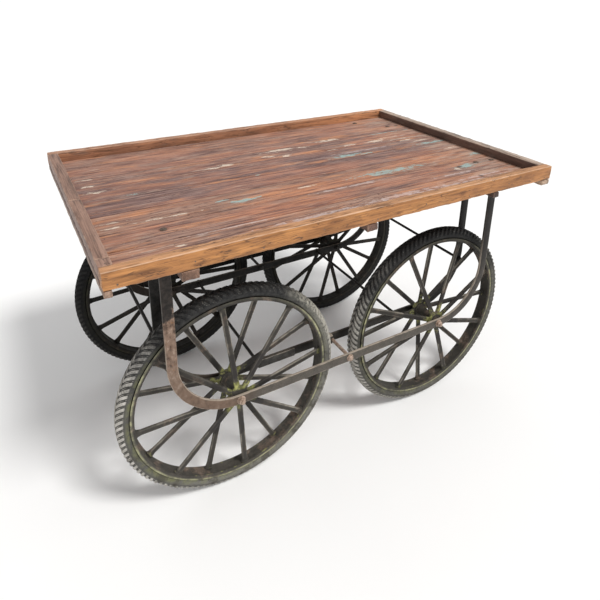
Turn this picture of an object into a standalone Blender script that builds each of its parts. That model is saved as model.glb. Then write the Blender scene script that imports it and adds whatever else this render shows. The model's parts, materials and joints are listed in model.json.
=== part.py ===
"""A hand-pushed goods cart: a shallow plank tray on four steel bars bent like tubs, with a spoked wheel hung
between each pair of bars. Metres, +Z up, X along the tray, the front long side towards -Y, the floor at Z = 0."""

import math

import bmesh
import bpy
from mathutils import Matrix, Vector

# Tray
TRAY_LENGTH = 1.580
TRAY_WIDTH = 1.004
TRAY_TOP = 0.962
SIDE_RAIL_HEIGHT = 0.051
SIDE_RAIL_THICKNESS = 0.032
END_RAIL_WIDTH = 0.036
END_RAIL_HOUSING = 0.002
PLANK_THICKNESS = 0.016
PLANK_GAP = 0.0012
PLANK_SHARES = (1.05, 0.93, 1.10, 0.98, 1.02, 0.90, 1.08, 0.94)
LEFT_RAIL_JOINT_SHARES = (-0.457, -0.028)

# Cross bearers under the planks: what each one keeps its distance from, that distance, its width and its depth
BEARERS = (
    ("left_end", 0.012, 0.023, 0.020),
    ("left_leg", 0.042, 0.048, 0.028),
    ("middle", -0.007, 0.040, 0.025),
    ("right_leg", -0.091, 0.028, 0.020),
    ("right_end", -0.022, 0.040, 0.020),
)

# Wheels: the tyre and the rim are turned with flats, and the tyre stands on one of them
WHEEL_SEGMENTS = 48
TYRE_RADIUS = 0.366
TYRE_WIDTH = 0.053
TYRE_DEPTH = 0.040
RIM_WIDTH = 0.044
RIM_DEPTH = 0.012
RIM_BEVEL = 0.003
TYRE_SPACING = 0.083
WHEEL_TRACK = 0.694
SPOKES = 16
SPOKE_WIDTH = 0.016
SPOKE_THICKNESS = 0.009
SPOKE_FOOT_WIDTH = 0.024
SPOKE_FOOT_LENGTH = 0.016
SPOKE_RIM_SPREAD = 0.010
HUB_RADIUS = 0.021
FLANGE_RADIUS = 0.036
FLANGE_THICKNESS = 0.008
HUB_SIDES = 24

# Steel bars, bent on edge into tubs
BAR_DEPTH = 0.032
BAR_THICKNESS = 0.008
BAR_OFFSET = 0.061
UNDERFRAME_X = -0.009
LEG_OVERHANG = 0.204
BEND_RADIUS = 0.200
BEND_STEPS = 10
FOOT_LENGTH = 0.058
FOOT_NARROWER = 0.001
FOOT_RISE = 0.003

# Axles and the rods between each pair of bars
AXLE_RADIUS = 0.008
AXLE_NUT_RADIUS = 0.0145
AXLE_NUT_HEIGHT = 0.011
ROD_RADIUS = 0.006
ROD_NUT_RADIUS = 0.0105
ROD_NUT_HEIGHT = 0.008
ROUND_SIDES = 16

# Round ties across the cart, through the two inner bars
LEFT_HUB_TIE_INSET = 0.117
RIGHT_HUB_TIE_INSET = 0.110
HUB_TIE_RISE = 0.004
LEFT_LEG_TIE_RISE = 0.187
RIGHT_LEG_TIE_RISE = 0.163
TIE_RADIUS = 0.0055
TIE_NUT_RADIUS = 0.0100
TIE_NUT_HEIGHT = 0.007

# Clearances
SEAT_GAP = 0.0003
HOLE_CLEARANCE = 0.0004
RUNNING_CLEARANCE = 0.0005
SIDE_CLEARANCE = 0.0055

# Places that follow from the sizes above
WHEELBASE = 2 * TYRE_RADIUS + TYRE_SPACING
LEG_SPACING = WHEELBASE + 2 * LEG_OVERHANG
TRAY_UNDERSIDE = TRAY_TOP - SIDE_RAIL_HEIGHT
DECK_TOP = TRAY_UNDERSIDE + PLANK_THICKNESS
INNER_WIDTH = TRAY_WIDTH - 2 * SIDE_RAIL_THICKNESS
HALF_FACET = math.pi / WHEEL_SEGMENTS
HUB_HEIGHT = TYRE_RADIUS * math.cos(HALF_FACET)
RIM_RADIUS = TYRE_RADIUS - TYRE_DEPTH - SEAT_GAP
RIM_BORE_RADIUS = (RIM_RADIUS - RIM_DEPTH) * math.cos(HALF_FACET)
SPOKE_TIP_RADIUS = math.sqrt(RIM_BORE_RADIUS**2 - (SPOKE_FOOT_WIDTH / 2) ** 2) - SEAT_GAP
HUB_HALF_LENGTH = BAR_OFFSET - BAR_THICKNESS / 2 - SIDE_CLEARANCE
INNER_BAR_Y = WHEEL_TRACK / 2 - BAR_OFFSET
OUTER_BAR_Y = WHEEL_TRACK / 2 + BAR_OFFSET
LEG_TOP = TRAY_UNDERSIDE - SEAT_GAP
LEFT_AXLE_X = UNDERFRAME_X - WHEELBASE / 2
RIGHT_AXLE_X = UNDERFRAME_X + WHEELBASE / 2
LEFT_LEG_X = UNDERFRAME_X - LEG_SPACING / 2
RIGHT_LEG_X = UNDERFRAME_X + LEG_SPACING / 2

# Each wheel: the place of its axle along X, its side of the cart, and the angle of its first spoke in degrees
WHEELS = {
    "front_left": (LEFT_AXLE_X, -1, 28.0),
    "front_right": (RIGHT_AXLE_X, -1, 0.0),
    "rear_left": (LEFT_AXLE_X, 1, -1.5),
    "rear_right": (RIGHT_AXLE_X, 1, 12.5),
}

# Each tie through the inner bars: its place along X and its height
TIES = {
    "hub_left": (LEFT_AXLE_X + LEFT_HUB_TIE_INSET, HUB_HEIGHT + HUB_TIE_RISE),
    "hub_right": (RIGHT_AXLE_X - RIGHT_HUB_TIE_INSET, HUB_HEIGHT + HUB_TIE_RISE),
    "leg_left": (LEFT_LEG_X, HUB_HEIGHT + LEFT_LEG_TIE_RISE),
    "leg_right": (RIGHT_LEG_X, HUB_HEIGHT + RIGHT_LEG_TIE_RISE),
}


def clear_scene():
    for obj in list(bpy.data.objects):
        bpy.data.objects.remove(obj, do_unlink=True)


def make_material(name, colour, roughness, metallic=0.0):
    material = bpy.data.materials.new(name)
    material.use_nodes = True
    shader = material.node_tree.nodes["Principled BSDF"]
    shader.inputs["Base Color"].default_value = (*colour, 1.0)
    shader.inputs["Roughness"].default_value = roughness
    shader.inputs["Metallic"].default_value = metallic
    return material


def make_object(name, bm, material=None, location=(0, 0, 0), smooth_below=None):
    """The bmesh as a named object. Faces that meet at less than smooth_below degrees are shaded smooth."""
    bmesh.ops.recalc_face_normals(bm, faces=bm.faces)
    mesh = bpy.data.meshes.new(name)
    bm.to_mesh(mesh)
    bm.free()
    if smooth_below:
        mesh.shade_smooth()
        mesh.set_sharp_from_angle(angle=math.radians(smooth_below))
    obj = bpy.data.objects.new(name, mesh)
    obj.location = location
    if material:
        mesh.materials.append(material)
    bpy.context.scene.collection.objects.link(obj)
    return obj


def add_box(bm, low, high):
    low, high = Vector(low), Vector(high)
    place = Matrix.Translation((low + high) / 2) @ Matrix.Diagonal((*(high - low), 1.0))
    bmesh.ops.create_cube(bm, size=1.0, matrix=place)


def make_box(name, low, high, material):
    bm = bmesh.new()
    add_box(bm, low, high)
    return make_object(name, bm, material)


def add_cylinder(bm, radius, start_y, end_y, centre=(0, 0), sides=ROUND_SIDES, flats_touch=False):
    """A cylinder along Y at centre (x, z). flats_touch puts the middles of its flats, not its corners, at radius."""
    reach = radius / math.cos(math.pi / sides) if flats_touch else radius
    place = Matrix.Translation((centre[0], (start_y + end_y) / 2, centre[1]))
    place = place @ Matrix.Rotation(math.pi / 2, 4, "X")
    bmesh.ops.create_cone(
        bm, cap_ends=True, segments=sides, radius1=reach, radius2=reach, depth=abs(end_y - start_y), matrix=place
    )


def extrude_outline(outline, shift):
    """A closed solid from flat outline points, pushed along shift."""
    bm = bmesh.new()
    face = bm.faces.new([bm.verts.new(point) for point in outline])
    pushed = bmesh.ops.extrude_face_region(bm, geom=[face])
    moved = [item for item in pushed["geom"] if isinstance(item, bmesh.types.BMVert)]
    bmesh.ops.translate(bm, verts=moved, vec=shift)
    return bm


def turn_ring(section):
    """A ring turned about Y from a closed section of (radius, y) points, standing on a flat."""
    bm = bmesh.new()
    start = -math.pi / 2 + HALF_FACET
    corners = [bm.verts.new((r * math.cos(start), y, r * math.sin(start))) for r, y in section]
    edges = [bm.edges.new((a, b)) for a, b in zip(corners, corners[1:] + corners[:1])]
    bmesh.ops.spin(
        bm,
        geom=corners + edges,
        cent=(0, 0, 0),
        axis=(0, 1, 0),
        angle=2 * math.pi,
        steps=WHEEL_SEGMENTS,
        use_merge=False,
        use_duplicate=False,
    )
    bmesh.ops.remove_doubles(bm, verts=bm.verts, dist=1e-5)
    return bm


def combine(target, helper, operation):
    """Cuts the hidden helper from the target, or joins it on."""
    helper.hide_render = True
    helper.display_type = "WIRE"
    modifier = target.modifiers.new(helper.name, "BOOLEAN")
    modifier.operation = operation
    modifier.object = helper
    modifier.solver = "EXACT"


def build_deck(wood):
    """The planks run the whole length between the side rails, housed at both ends for the end rails on them."""
    half_length = TRAY_LENGTH / 2
    shoulder = half_length - END_RAIL_WIDTH - SEAT_GAP
    housing = DECK_TOP - END_RAIL_HOUSING
    plank_room = INNER_WIDTH - 2 * SEAT_GAP - PLANK_GAP * (len(PLANK_SHARES) - 1)
    y = -INNER_WIDTH / 2 + SEAT_GAP
    for number, share in enumerate(PLANK_SHARES, start=1):
        width = plank_room * share / sum(PLANK_SHARES)
        right_half = [
            (half_length, TRAY_UNDERSIDE),
            (half_length, housing),
            (shoulder, housing),
            (shoulder, DECK_TOP),
        ]
        profile = right_half + [(-x, z) for x, z in reversed(right_half)]
        bm = extrude_outline([(x, y, z) for x, z in profile], (0, width, 0))
        make_object(f"deck_plank_{number}", bm, wood)
        y += width + PLANK_GAP


def build_rails(wood):
    for name, side in (("rail_front", -1), ("rail_rear", 1)):
        edges = sorted((side * TRAY_WIDTH / 2, side * INNER_WIDTH / 2))
        low = (-TRAY_LENGTH / 2, edges[0], TRAY_UNDERSIDE)
        high = (TRAY_LENGTH / 2, edges[1], TRAY_TOP)
        make_box(name, low, high, wood)
    end = INNER_WIDTH / 2
    joints = [share * INNER_WIDTH for share in LEFT_RAIL_JOINT_SHARES]
    left_stops = (-end, *joints, end)
    left_names = ("rail_left_front", "rail_left_middle", "rail_left_rear")
    pieces = [(name, -1, a, b) for name, a, b in zip(left_names, left_stops, left_stops[1:])]
    pieces.append(("rail_right", 1, -end, end))
    for name, side, near, far in pieces:
        edges = sorted((side * TRAY_LENGTH / 2, side * (TRAY_LENGTH / 2 - END_RAIL_WIDTH)))
        low = (edges[0], near + SEAT_GAP, DECK_TOP - END_RAIL_HOUSING + SEAT_GAP)
        high = (edges[1], far - SEAT_GAP, TRAY_TOP)
        make_box(name, low, high, wood)


def build_bearers(wood):
    starts = {
        "left_end": -TRAY_LENGTH / 2,
        "left_leg": LEFT_LEG_X,
        "middle": UNDERFRAME_X,
        "right_leg": RIGHT_LEG_X,
        "right_end": TRAY_LENGTH / 2,
    }
    top = TRAY_UNDERSIDE - SEAT_GAP
    for number, (beside, distance, width, depth) in enumerate(BEARERS, start=1):
        x = starts[beside] + distance
        low = (x - width / 2, -TRAY_WIDTH / 2, top - depth)
        high = (x + width / 2, TRAY_WIDTH / 2, top)
        make_box(f"bearer_{number}", low, high, wood)


def tub_outline(y):
    """The bar's outline in the XZ plane: down the left leg, round the bends and up the right leg, and back."""
    points = []
    leg_x = LEG_SPACING / 2
    for offset, direction in ((BAR_DEPTH / 2, 1), (-BAR_DEPTH / 2, -1)):
        radius = BEND_RADIUS + offset
        path = [(-leg_x - offset, LEG_TOP - FOOT_RISE)]
        for step in range(BEND_STEPS + 1):
            angle = math.pi + step * math.pi / 2 / BEND_STEPS
            x = -leg_x + BEND_RADIUS + radius * math.cos(angle)
            path.append((x, HUB_HEIGHT + BEND_RADIUS + radius * math.sin(angle)))
        path += [(-x, z) for x, z in reversed(path)]
        points += path[::direction]
    return [(UNDERFRAME_X + x, y, z) for x, z in points]


def build_bars(iron):
    for end, side in (("front", -1), ("rear", 1)):
        for place, centre_y in (("outer", side * OUTER_BAR_Y), ("inner", side * INNER_BAR_Y)):
            name = f"bar_{end}_{place}"
            bm = extrude_outline(tub_outline(centre_y - BAR_THICKNESS / 2), (0, BAR_THICKNESS, 0))
            bar = make_object(name, bm, iron, smooth_below=30)
            combine(bar, foot_helper(name, centre_y, -side), "UNION")
            combine(bar, hole_helper(name, centre_y, place == "inner"), "DIFFERENCE")


def foot_helper(name, centre_y, inward):
    """The two feet, turned inwards under the planks at the tops of the legs."""
    bm = bmesh.new()
    half_width = BAR_DEPTH / 2 - FOOT_NARROWER
    edges = sorted((centre_y - inward * BAR_THICKNESS / 4, centre_y + inward * FOOT_LENGTH))
    for x in (LEFT_LEG_X, RIGHT_LEG_X):
        low = (x - half_width, edges[0], LEG_TOP - BAR_THICKNESS)
        high = (x + half_width, edges[1], LEG_TOP)
        add_box(bm, low, high)
    return make_object(f"{name}_feet_shape", bm)


def hole_helper(name, centre_y, with_ties):
    """The holes for the two axles, for the rod between them and, in an inner bar, for the four ties."""
    bm = bmesh.new()
    reach = (centre_y - BAR_THICKNESS, centre_y + BAR_THICKNESS)
    for x in (LEFT_AXLE_X, RIGHT_AXLE_X):
        add_cylinder(bm, AXLE_RADIUS + HOLE_CLEARANCE, *reach, (x, HUB_HEIGHT), flats_touch=True)
    add_cylinder(bm, ROD_RADIUS + HOLE_CLEARANCE, *reach, (UNDERFRAME_X, HUB_HEIGHT), flats_touch=True)
    if with_ties:
        for place in TIES.values():
            add_cylinder(bm, TIE_RADIUS + HOLE_CLEARANCE, *reach, place, flats_touch=True)
    return make_object(f"{name}_holes_shape", bm)


def headed_rod(name, place, seats, radius, nut_radius, nut_height, material):
    """A rod along Y at place (x, z), with a six-sided head outside each of its two seats."""
    bm = bmesh.new()
    low, high = sorted(seats)
    low -= SEAT_GAP
    high += SEAT_GAP
    add_cylinder(bm, radius, low - nut_height / 2, high + nut_height / 2)
    rod = make_object(name, bm, material, (place[0], 0, place[1]), smooth_below=40)
    heads = bmesh.new()
    add_cylinder(heads, nut_radius, low - nut_height, low, sides=6)
    add_cylinder(heads, nut_radius, high, high + nut_height, sides=6)
    combine(rod, make_object(f"{name}_heads_shape", heads, None, (place[0], 0, place[1])), "UNION")


def build_axles_and_rods(steel, iron):
    outer_face = OUTER_BAR_Y + BAR_THICKNESS / 2
    inner_face = INNER_BAR_Y - BAR_THICKNESS / 2
    for name, (x, side, _) in WHEELS.items():
        seats = (side * outer_face, side * inner_face)
        headed_rod(f"axle_{name}", (x, HUB_HEIGHT), seats, AXLE_RADIUS, AXLE_NUT_RADIUS, AXLE_NUT_HEIGHT, steel)
    for name, side in (("front", -1), ("rear", 1)):
        place = (UNDERFRAME_X, HUB_HEIGHT)
        seats = (side * outer_face, side * inner_face)
        headed_rod(f"bar_rod_{name}", place, seats, ROD_RADIUS, ROD_NUT_RADIUS, ROD_NUT_HEIGHT, steel)
    wheel_side_face = INNER_BAR_Y + BAR_THICKNESS / 2
    for name, place in TIES.items():
        seats = (-wheel_side_face, wheel_side_face)
        headed_rod(f"tie_{name}", place, seats, TIE_RADIUS, TIE_NUT_RADIUS, TIE_NUT_HEIGHT, iron)


def tyre_section():
    inner, crown = TYRE_RADIUS - TYRE_DEPTH, TYRE_RADIUS
    half = TYRE_WIDTH / 2
    right = [
        (inner, half * 0.80),
        (inner + TYRE_DEPTH * 0.30, half),
        (inner + TYRE_DEPTH * 0.72, half * 0.92),
        (crown, half * 0.52),
    ]
    return right + [(r, -y) for r, y in reversed(right)]


def rim_section():
    inner, outer = RIM_RADIUS - RIM_DEPTH, RIM_RADIUS
    half = RIM_WIDTH / 2
    return [
        (outer, half),
        (outer, -half),
        (inner + RIM_BEVEL, -half),
        (inner, -half + RIM_BEVEL),
        (inner, half - RIM_BEVEL),
        (inner + RIM_BEVEL, half),
    ]


def add_spoke(bm, angle, flange_y, rim_y):
    """A flat spoke from a hub flange out to the rim, spreading into a welded foot."""
    along = Vector((math.cos(angle), 0, math.sin(angle)))
    across = Vector((-math.sin(angle), 0, math.cos(angle)))
    inner = (HUB_RADIUS + FLANGE_RADIUS) / 2
    foot_start = SPOKE_TIP_RADIUS - SPOKE_FOOT_LENGTH
    slope = (rim_y - flange_y) / (SPOKE_TIP_RADIUS - inner)
    rings = []
    for radius, width in (
        (inner, SPOKE_WIDTH),
        (foot_start, SPOKE_WIDTH),
        (SPOKE_TIP_RADIUS, SPOKE_FOOT_WIDTH),
    ):
        centre = along * radius + Vector((0, flange_y + slope * (radius - inner), 0))
        corners = ((-1, -1), (1, -1), (1, 1), (-1, 1))
        half = (across * width / 2, Vector((0, SPOKE_THICKNESS / 2, 0)))
        rings.append([bm.verts.new(centre + half[0] * a + half[1] * b) for a, b in corners])
    bm.faces.new(rings[0])
    bm.faces.new(rings[-1])
    for first, second in zip(rings, rings[1:]):
        for i in range(4):
            bm.faces.new((first[i], first[i - 1], second[i - 1], second[i]))


def make_hub(name, first_angle, iron, pivot):
    """The hub barrel with its two flanges and the sixteen spokes, which lean to each flange in turn."""
    flange_y = HUB_HALF_LENGTH - FLANGE_THICKNESS
    bm = bmesh.new()
    add_cylinder(bm, HUB_RADIUS, -HUB_HALF_LENGTH, HUB_HALF_LENGTH, sides=HUB_SIDES)
    hub = make_object(f"wheel_spokes_{name}", bm, iron, smooth_below=40)
    helpers = bmesh.new()
    for side in (-1, 1):
        middle = side * flange_y
        half = FLANGE_THICKNESS / 2
        add_cylinder(helpers, FLANGE_RADIUS, middle - half, middle + half, sides=HUB_SIDES)
    combine(hub, place_on(pivot, make_object(f"hub_flanges_{name}_shape", helpers)), "UNION")
    spokes = bmesh.new()
    for number in range(SPOKES):
        side = -1 if number % 2 else 1
        angle = first_angle + number * 2 * math.pi / SPOKES
        add_spoke(spokes, angle, side * flange_y, side * SPOKE_RIM_SPREAD)
    combine(hub, place_on(pivot, make_object(f"hub_spokes_{name}_shape", spokes)), "UNION")
    bore = bmesh.new()
    radius = AXLE_RADIUS + RUNNING_CLEARANCE
    add_cylinder(bore, radius, -2 * HUB_HALF_LENGTH, 2 * HUB_HALF_LENGTH, sides=ROUND_SIDES, flats_touch=True)
    combine(hub, place_on(pivot, make_object(f"hub_bore_{name}_shape", bore)), "DIFFERENCE")
    place_on(pivot, hub)


def place_on(pivot, obj):
    obj.parent = pivot
    return obj


def build_wheels(iron, rubber):
    for name, (x, side, first_degrees) in WHEELS.items():
        pivot = bpy.data.objects.new(f"pivot_{name}", None)
        pivot.location = (x, side * WHEEL_TRACK / 2, HUB_HEIGHT)
        bpy.context.scene.collection.objects.link(pivot)
        tyre = make_object(f"tyre_{name}", turn_ring(tyre_section()), rubber, smooth_below=40)
        rim = make_object(f"rim_{name}", turn_ring(rim_section()), iron, smooth_below=40)
        place_on(pivot, tyre)
        place_on(pivot, rim)
        make_hub(name, math.radians(first_degrees), iron, pivot)


def main():
    clear_scene()
    deck_wood = make_material("deck_wood", (0.24, 0.13, 0.10), 0.75)
    rail_wood = make_material("rail_wood", (0.36, 0.17, 0.06), 0.60)
    bearer_wood = make_material("bearer_wood", (0.28, 0.15, 0.10), 0.80)
    bar_iron = make_material("bar_iron", (0.06, 0.05, 0.045), 0.65, 0.6)
    wheel_iron = make_material("wheel_iron", (0.07, 0.07, 0.055), 0.65, 0.6)
    bolt_steel = make_material("bolt_steel", (0.30, 0.17, 0.10), 0.60, 0.7)
    tyre_rubber = make_material("tyre_rubber", (0.045, 0.043, 0.04), 0.85)
    build_deck(deck_wood)
    build_rails(rail_wood)
    build_bearers(bearer_wood)
    build_bars(bar_iron)
    build_axles_and_rods(bolt_steel, bar_iron)
    build_wheels(wheel_iron, tyre_rubber)


main()
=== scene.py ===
"""The looks of a weathered goods cart: a plank tray on bent steel bars, with four spoked wheels.

Metres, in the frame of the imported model: +X along the tray, the front long side towards -Y, floor at Z = 0.
"""

import json
import math
import random

import bpy
from mathutils import Matrix, Vector


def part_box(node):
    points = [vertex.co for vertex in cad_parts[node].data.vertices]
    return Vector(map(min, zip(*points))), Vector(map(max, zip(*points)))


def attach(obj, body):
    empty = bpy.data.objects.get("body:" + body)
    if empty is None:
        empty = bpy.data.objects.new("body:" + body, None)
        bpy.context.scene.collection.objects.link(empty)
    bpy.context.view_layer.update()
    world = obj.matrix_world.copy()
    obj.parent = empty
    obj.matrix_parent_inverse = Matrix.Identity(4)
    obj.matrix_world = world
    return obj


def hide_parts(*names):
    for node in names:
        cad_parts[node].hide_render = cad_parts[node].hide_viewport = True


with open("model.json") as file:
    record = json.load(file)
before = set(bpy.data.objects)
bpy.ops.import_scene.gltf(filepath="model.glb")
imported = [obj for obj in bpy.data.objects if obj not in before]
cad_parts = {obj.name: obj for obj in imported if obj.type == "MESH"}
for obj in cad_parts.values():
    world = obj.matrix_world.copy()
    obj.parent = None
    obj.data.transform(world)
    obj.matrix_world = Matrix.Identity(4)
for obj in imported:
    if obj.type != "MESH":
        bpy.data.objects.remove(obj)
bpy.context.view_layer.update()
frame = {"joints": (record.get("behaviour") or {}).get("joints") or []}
random.seed(41)

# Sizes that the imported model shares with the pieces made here
WHEEL_CENTRES = {joint["child"]: Vector(joint["pos_m"]) for joint in frame["joints"]}
HUB_HEIGHT = WHEEL_CENTRES["wheel_front_left"].z
DECK_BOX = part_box("deck_plank_1")
DECK_TOP = DECK_BOX[1].z
TRAY_UNDERSIDE = DECK_BOX[0].z
TYRE_RADIUS = 0.366
TYRE_WIDTH = 0.053
RIM_RADIUS = 0.3257
RIM_DEPTH = 0.012
RIM_WIDTH = 0.044
HUB_RADIUS = 0.021
HUB_HALF_LENGTH = 0.0515
FLANGE_RADIUS = 0.036
FLANGE_Y = 0.0435
SPOKE_WIDTH = 0.0172
SPOKE_THICKNESS = 0.009
SPOKE_RIM_SPREAD = 0.010
SPOKES = 16
TREAD_OUTER = TYRE_RADIUS - 0.0032
TREAD_MIDDLE = (TREAD_OUTER + RIM_RADIUS + 0.0008) / 2
TREAD_HALF_DEEP = TREAD_OUTER - TREAD_MIDDLE
TREAD_HALF_WIDE = (TYRE_WIDTH - 0.0045) / 2
BAR_DEPTH = 0.032
BAR_THICKNESS = 0.008
BEND_RADIUS = 0.200
BEND_STEPS = 18
LEFT_LEG_X = -0.6205
RIGHT_LEG_X = 0.6025
FOOT_LENGTH = 0.058
BAR_Y = {"outer": 0.408, "inner": 0.286}
FOOT_BOLT_Y = (-0.372, -0.250, 0.250, 0.372)
LUGS = 108
FIRST_SPOKE = {"front_left": 28.0, "front_right": 0.0, "rear_left": -1.5, "rear_right": 12.5}

# The photograph's camera: its place, then azimuth, elevation and roll, and its lens in pixels
CAMERA_PLACE = (-0.94334, -1.65691, 1.60491)
CAMERA_DEGREES = (-30.212, 19.798, 0.830)
FOCAL_PIXELS = 544.095
PHOTO_SIDE = 600.0
CENTRE_ROW = 170.0

# Scraps of old paint on the planks: place along, place across, half length, half width
CREAM_SCRAPS = (
    (-0.709, 0.225, 0.016, 0.005), (-0.706, 0.155, 0.018, 0.006), (-0.690, 0.093, 0.024, 0.006),
    (-0.277, 0.134, 0.018, 0.008), (-0.214, 0.147, 0.020, 0.009), (0.047, 0.219, 0.055, 0.013),
    (-0.037, 0.162, 0.024, 0.006), (0.028, 0.140, 0.028, 0.009), (0.154, 0.208, 0.018, 0.005),
    (0.300, 0.241, 0.042, 0.010), (0.343, 0.144, 0.028, 0.008), (0.256, 0.125, 0.018, 0.006),
    (0.475, 0.138, 0.048, 0.009), (0.620, 0.122, 0.060, 0.005), (-0.569, -0.393, 0.012, 0.004),
    (-0.053, -0.184, 0.030, 0.005), (-0.537, -0.201, 0.062, 0.003), (-0.697, -0.168, 0.024, 0.003),
    (-0.705, -0.203, 0.026, 0.003), (0.610, 0.092, 0.030, 0.006), (0.668, 0.060, 0.024, 0.005),
    (0.700, -0.085, 0.030, 0.006), (0.560, 0.160, 0.050, 0.004), (0.535, -0.292, 0.012, 0.008),
)
# Pale washed streaks along the front edge and in the middle of the deck
HAZE_SCRAPS = (
    (0.400, -0.412, 0.170, 0.010), (0.190, -0.394, 0.120, 0.008), (0.560, -0.384, 0.085, 0.006),
    (-0.120, -0.405, 0.140, 0.007), (0.330, 0.060, 0.120, 0.006), (-0.400, -0.350, 0.110, 0.006),
    (0.480, -0.330, 0.090, 0.005), (0.080, -0.250, 0.110, 0.005),
)
BLUE_SCRAPS = (
    (-0.587, 0.022, 0.020, 0.006), (-0.290, -0.193, 0.040, 0.008), (-0.358, -0.164, 0.014, 0.005),
    (-0.158, -0.005, 0.006, 0.003), (0.594, 0.230, 0.080, 0.007), (0.250, 0.028, 0.052, 0.012),
    (0.345, 0.018, 0.026, 0.005), (0.300, -0.194, 0.110, 0.015), (0.588, -0.283, 0.040, 0.012),
    (0.700, 0.013, 0.070, 0.010), (0.740, -0.185, 0.030, 0.010),
)
# Bolt heads that show on the deck, and knots or old nail holes beside them
DECK_BOLTS = ((-0.580, -0.277), (0.653, -0.271), (0.729, -0.278), (0.573, 0.426), (0.678, 0.306))
DECK_HOLES = ((0.555, -0.279), (0.555, -0.390), (0.725, 0.298))


# Selecting and shaping by hand


def object_mode():
    if bpy.context.object and bpy.context.object.mode != "OBJECT":
        bpy.ops.object.mode_set(mode="OBJECT")


def only(obj):
    """Makes obj the one selected and active object."""
    object_mode()
    bpy.ops.object.select_all(action="DESELECT")
    obj.select_set(True)
    bpy.context.view_layer.objects.active = obj


def clear_selection():
    object_mode()
    bpy.ops.object.select_all(action="DESELECT")


def named(name):
    """The primitive just added, under its own name."""
    obj = bpy.context.object
    obj.name = name
    obj.data.name = name
    return obj


def settle(obj):
    """Puts the object's place, turn and size into its mesh."""
    only(obj)
    bpy.ops.object.transform_apply(location=True, rotation=True, scale=True)
    return obj


def add_block(name, low, high):
    clear_selection()
    low, high = Vector(low), Vector(high)
    bpy.ops.mesh.primitive_cube_add(size=1.0, location=(low + high) / 2)
    block = named(name)
    block.scale = high - low
    return settle(block)


def add_section(name, place, long, wide):
    """A flat rectangle, level, to be swept into a band or a bar."""
    clear_selection()
    bpy.ops.mesh.primitive_plane_add(size=1.0, location=place)
    section = named(name)
    section.scale = (long, wide, 1.0)
    return settle(section)


def add_round(name, radius, start, end, sides=24):
    """A cylinder whose ends are at start and end."""
    clear_selection()
    start, end = Vector(start), Vector(end)
    along = end - start
    turn = along.to_track_quat("Z", "Y").to_euler()
    bpy.ops.mesh.primitive_cylinder_add(
        vertices=sides, radius=radius, depth=along.length, location=(start + end) / 2, rotation=turn
    )
    return settle(named(name))


def start_selecting(obj, kind):
    """Clears the selection of the mesh in the given select mode, ready to be set from code."""
    only(obj)
    bpy.ops.object.mode_set(mode="EDIT")
    bpy.ops.mesh.select_mode(type=kind)
    bpy.ops.mesh.select_all(action="DESELECT")
    bpy.ops.object.mode_set(mode="OBJECT")


def select_edges(obj, wanted):
    """Enters edit mode with the edges selected whose two ends pass wanted(a, b)."""
    start_selecting(obj, "EDGE")
    for edge in obj.data.edges:
        a, b = (obj.data.vertices[i].co for i in edge.vertices)
        edge.select = bool(wanted(a, b))
    bpy.ops.object.mode_set(mode="EDIT")


def select_faces(obj, wanted):
    """Enters edit mode with the faces selected that pass wanted(centre, normal)."""
    start_selecting(obj, "FACE")
    for face in obj.data.polygons:
        face.select = bool(wanted(face.center, face.normal))
    bpy.ops.object.mode_set(mode="EDIT")


def edit_all(obj):
    """Enters edit mode with all of the mesh selected."""
    only(obj)
    bpy.ops.object.mode_set(mode="EDIT")
    bpy.ops.mesh.select_all(action="SELECT")


def raise_end(obj, end, inset, rise):
    """Insets the end face of a round piece along Y, and moves it out by rise."""
    select_faces(obj, lambda centre, normal: abs(normal.y) > 0.9 and abs(centre.y - end) < 1e-4)
    bpy.ops.mesh.inset(thickness=inset, depth=0.0)
    bpy.ops.transform.translate(value=(0, rise, 0))
    object_mode()


def spin_wheel(obj):
    """Spins a section round the axle into a closed ring."""
    edit_all(obj)
    bpy.ops.mesh.spin(steps=128, angle=2 * math.pi, center=(0, 0, 0), axis=(0, 1, 0), use_auto_merge=True)
    object_mode()
    mend_surface(obj)


def cut_along(obj, axis, cuts):
    """Subdivides every edge that runs along one axis, so that loops go round the piece."""
    def runs_along(a, b):
        step = b - a
        return abs(step[axis]) > 0.999 * step.length
    select_edges(obj, runs_along)
    bpy.ops.mesh.subdivide(number_cuts=cuts)
    object_mode()


def finish_modifier(obj, kind, **settings):
    only(obj)
    modifier = obj.modifiers.new(kind.title(), kind)
    for key, value in settings.items():
        setattr(modifier, key, value)
    bpy.ops.object.modifier_apply(modifier=modifier.name)


def round_edges(obj, width, segments=2, degrees=30.0):
    finish_modifier(
        obj, "BEVEL", width=width, segments=segments, limit_method="ANGLE", angle_limit=math.radians(degrees)
    )


def smooth(obj, degrees=35.0):
    only(obj)
    bpy.ops.object.shade_smooth_by_angle(angle=math.radians(degrees))
    return obj


def mend_surface(obj):
    """Merges doubled points and turns every face outwards."""
    only(obj)
    bpy.ops.object.mode_set(mode="EDIT")
    bpy.ops.mesh.select_mode(type="VERT")
    bpy.ops.mesh.select_all(action="SELECT")
    bpy.ops.mesh.remove_doubles(threshold=1e-5)
    bpy.ops.mesh.normals_make_consistent(inside=False)
    object_mode()


def join(pieces, name):
    clear_selection()
    for piece in pieces:
        piece.select_set(True)
    bpy.context.view_layer.objects.active = pieces[0]
    if len(pieces) > 1:
        bpy.ops.object.join()
    return named(name)


def copy_of(obj, turn=(0.0, 0.0, 0.0), move=(0.0, 0.0, 0.0)):
    """A copy with its own mesh, turned about the origin and then moved."""
    only(obj)
    bpy.ops.object.duplicate()
    twin = bpy.context.object
    twin.rotation_euler = turn
    twin.location = move
    return settle(twin)


def clouds(name, size, depth=2):
    texture = bpy.data.textures.new(name, "CLOUDS")
    texture.noise_scale = size
    texture.noise_depth = depth
    return texture


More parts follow.
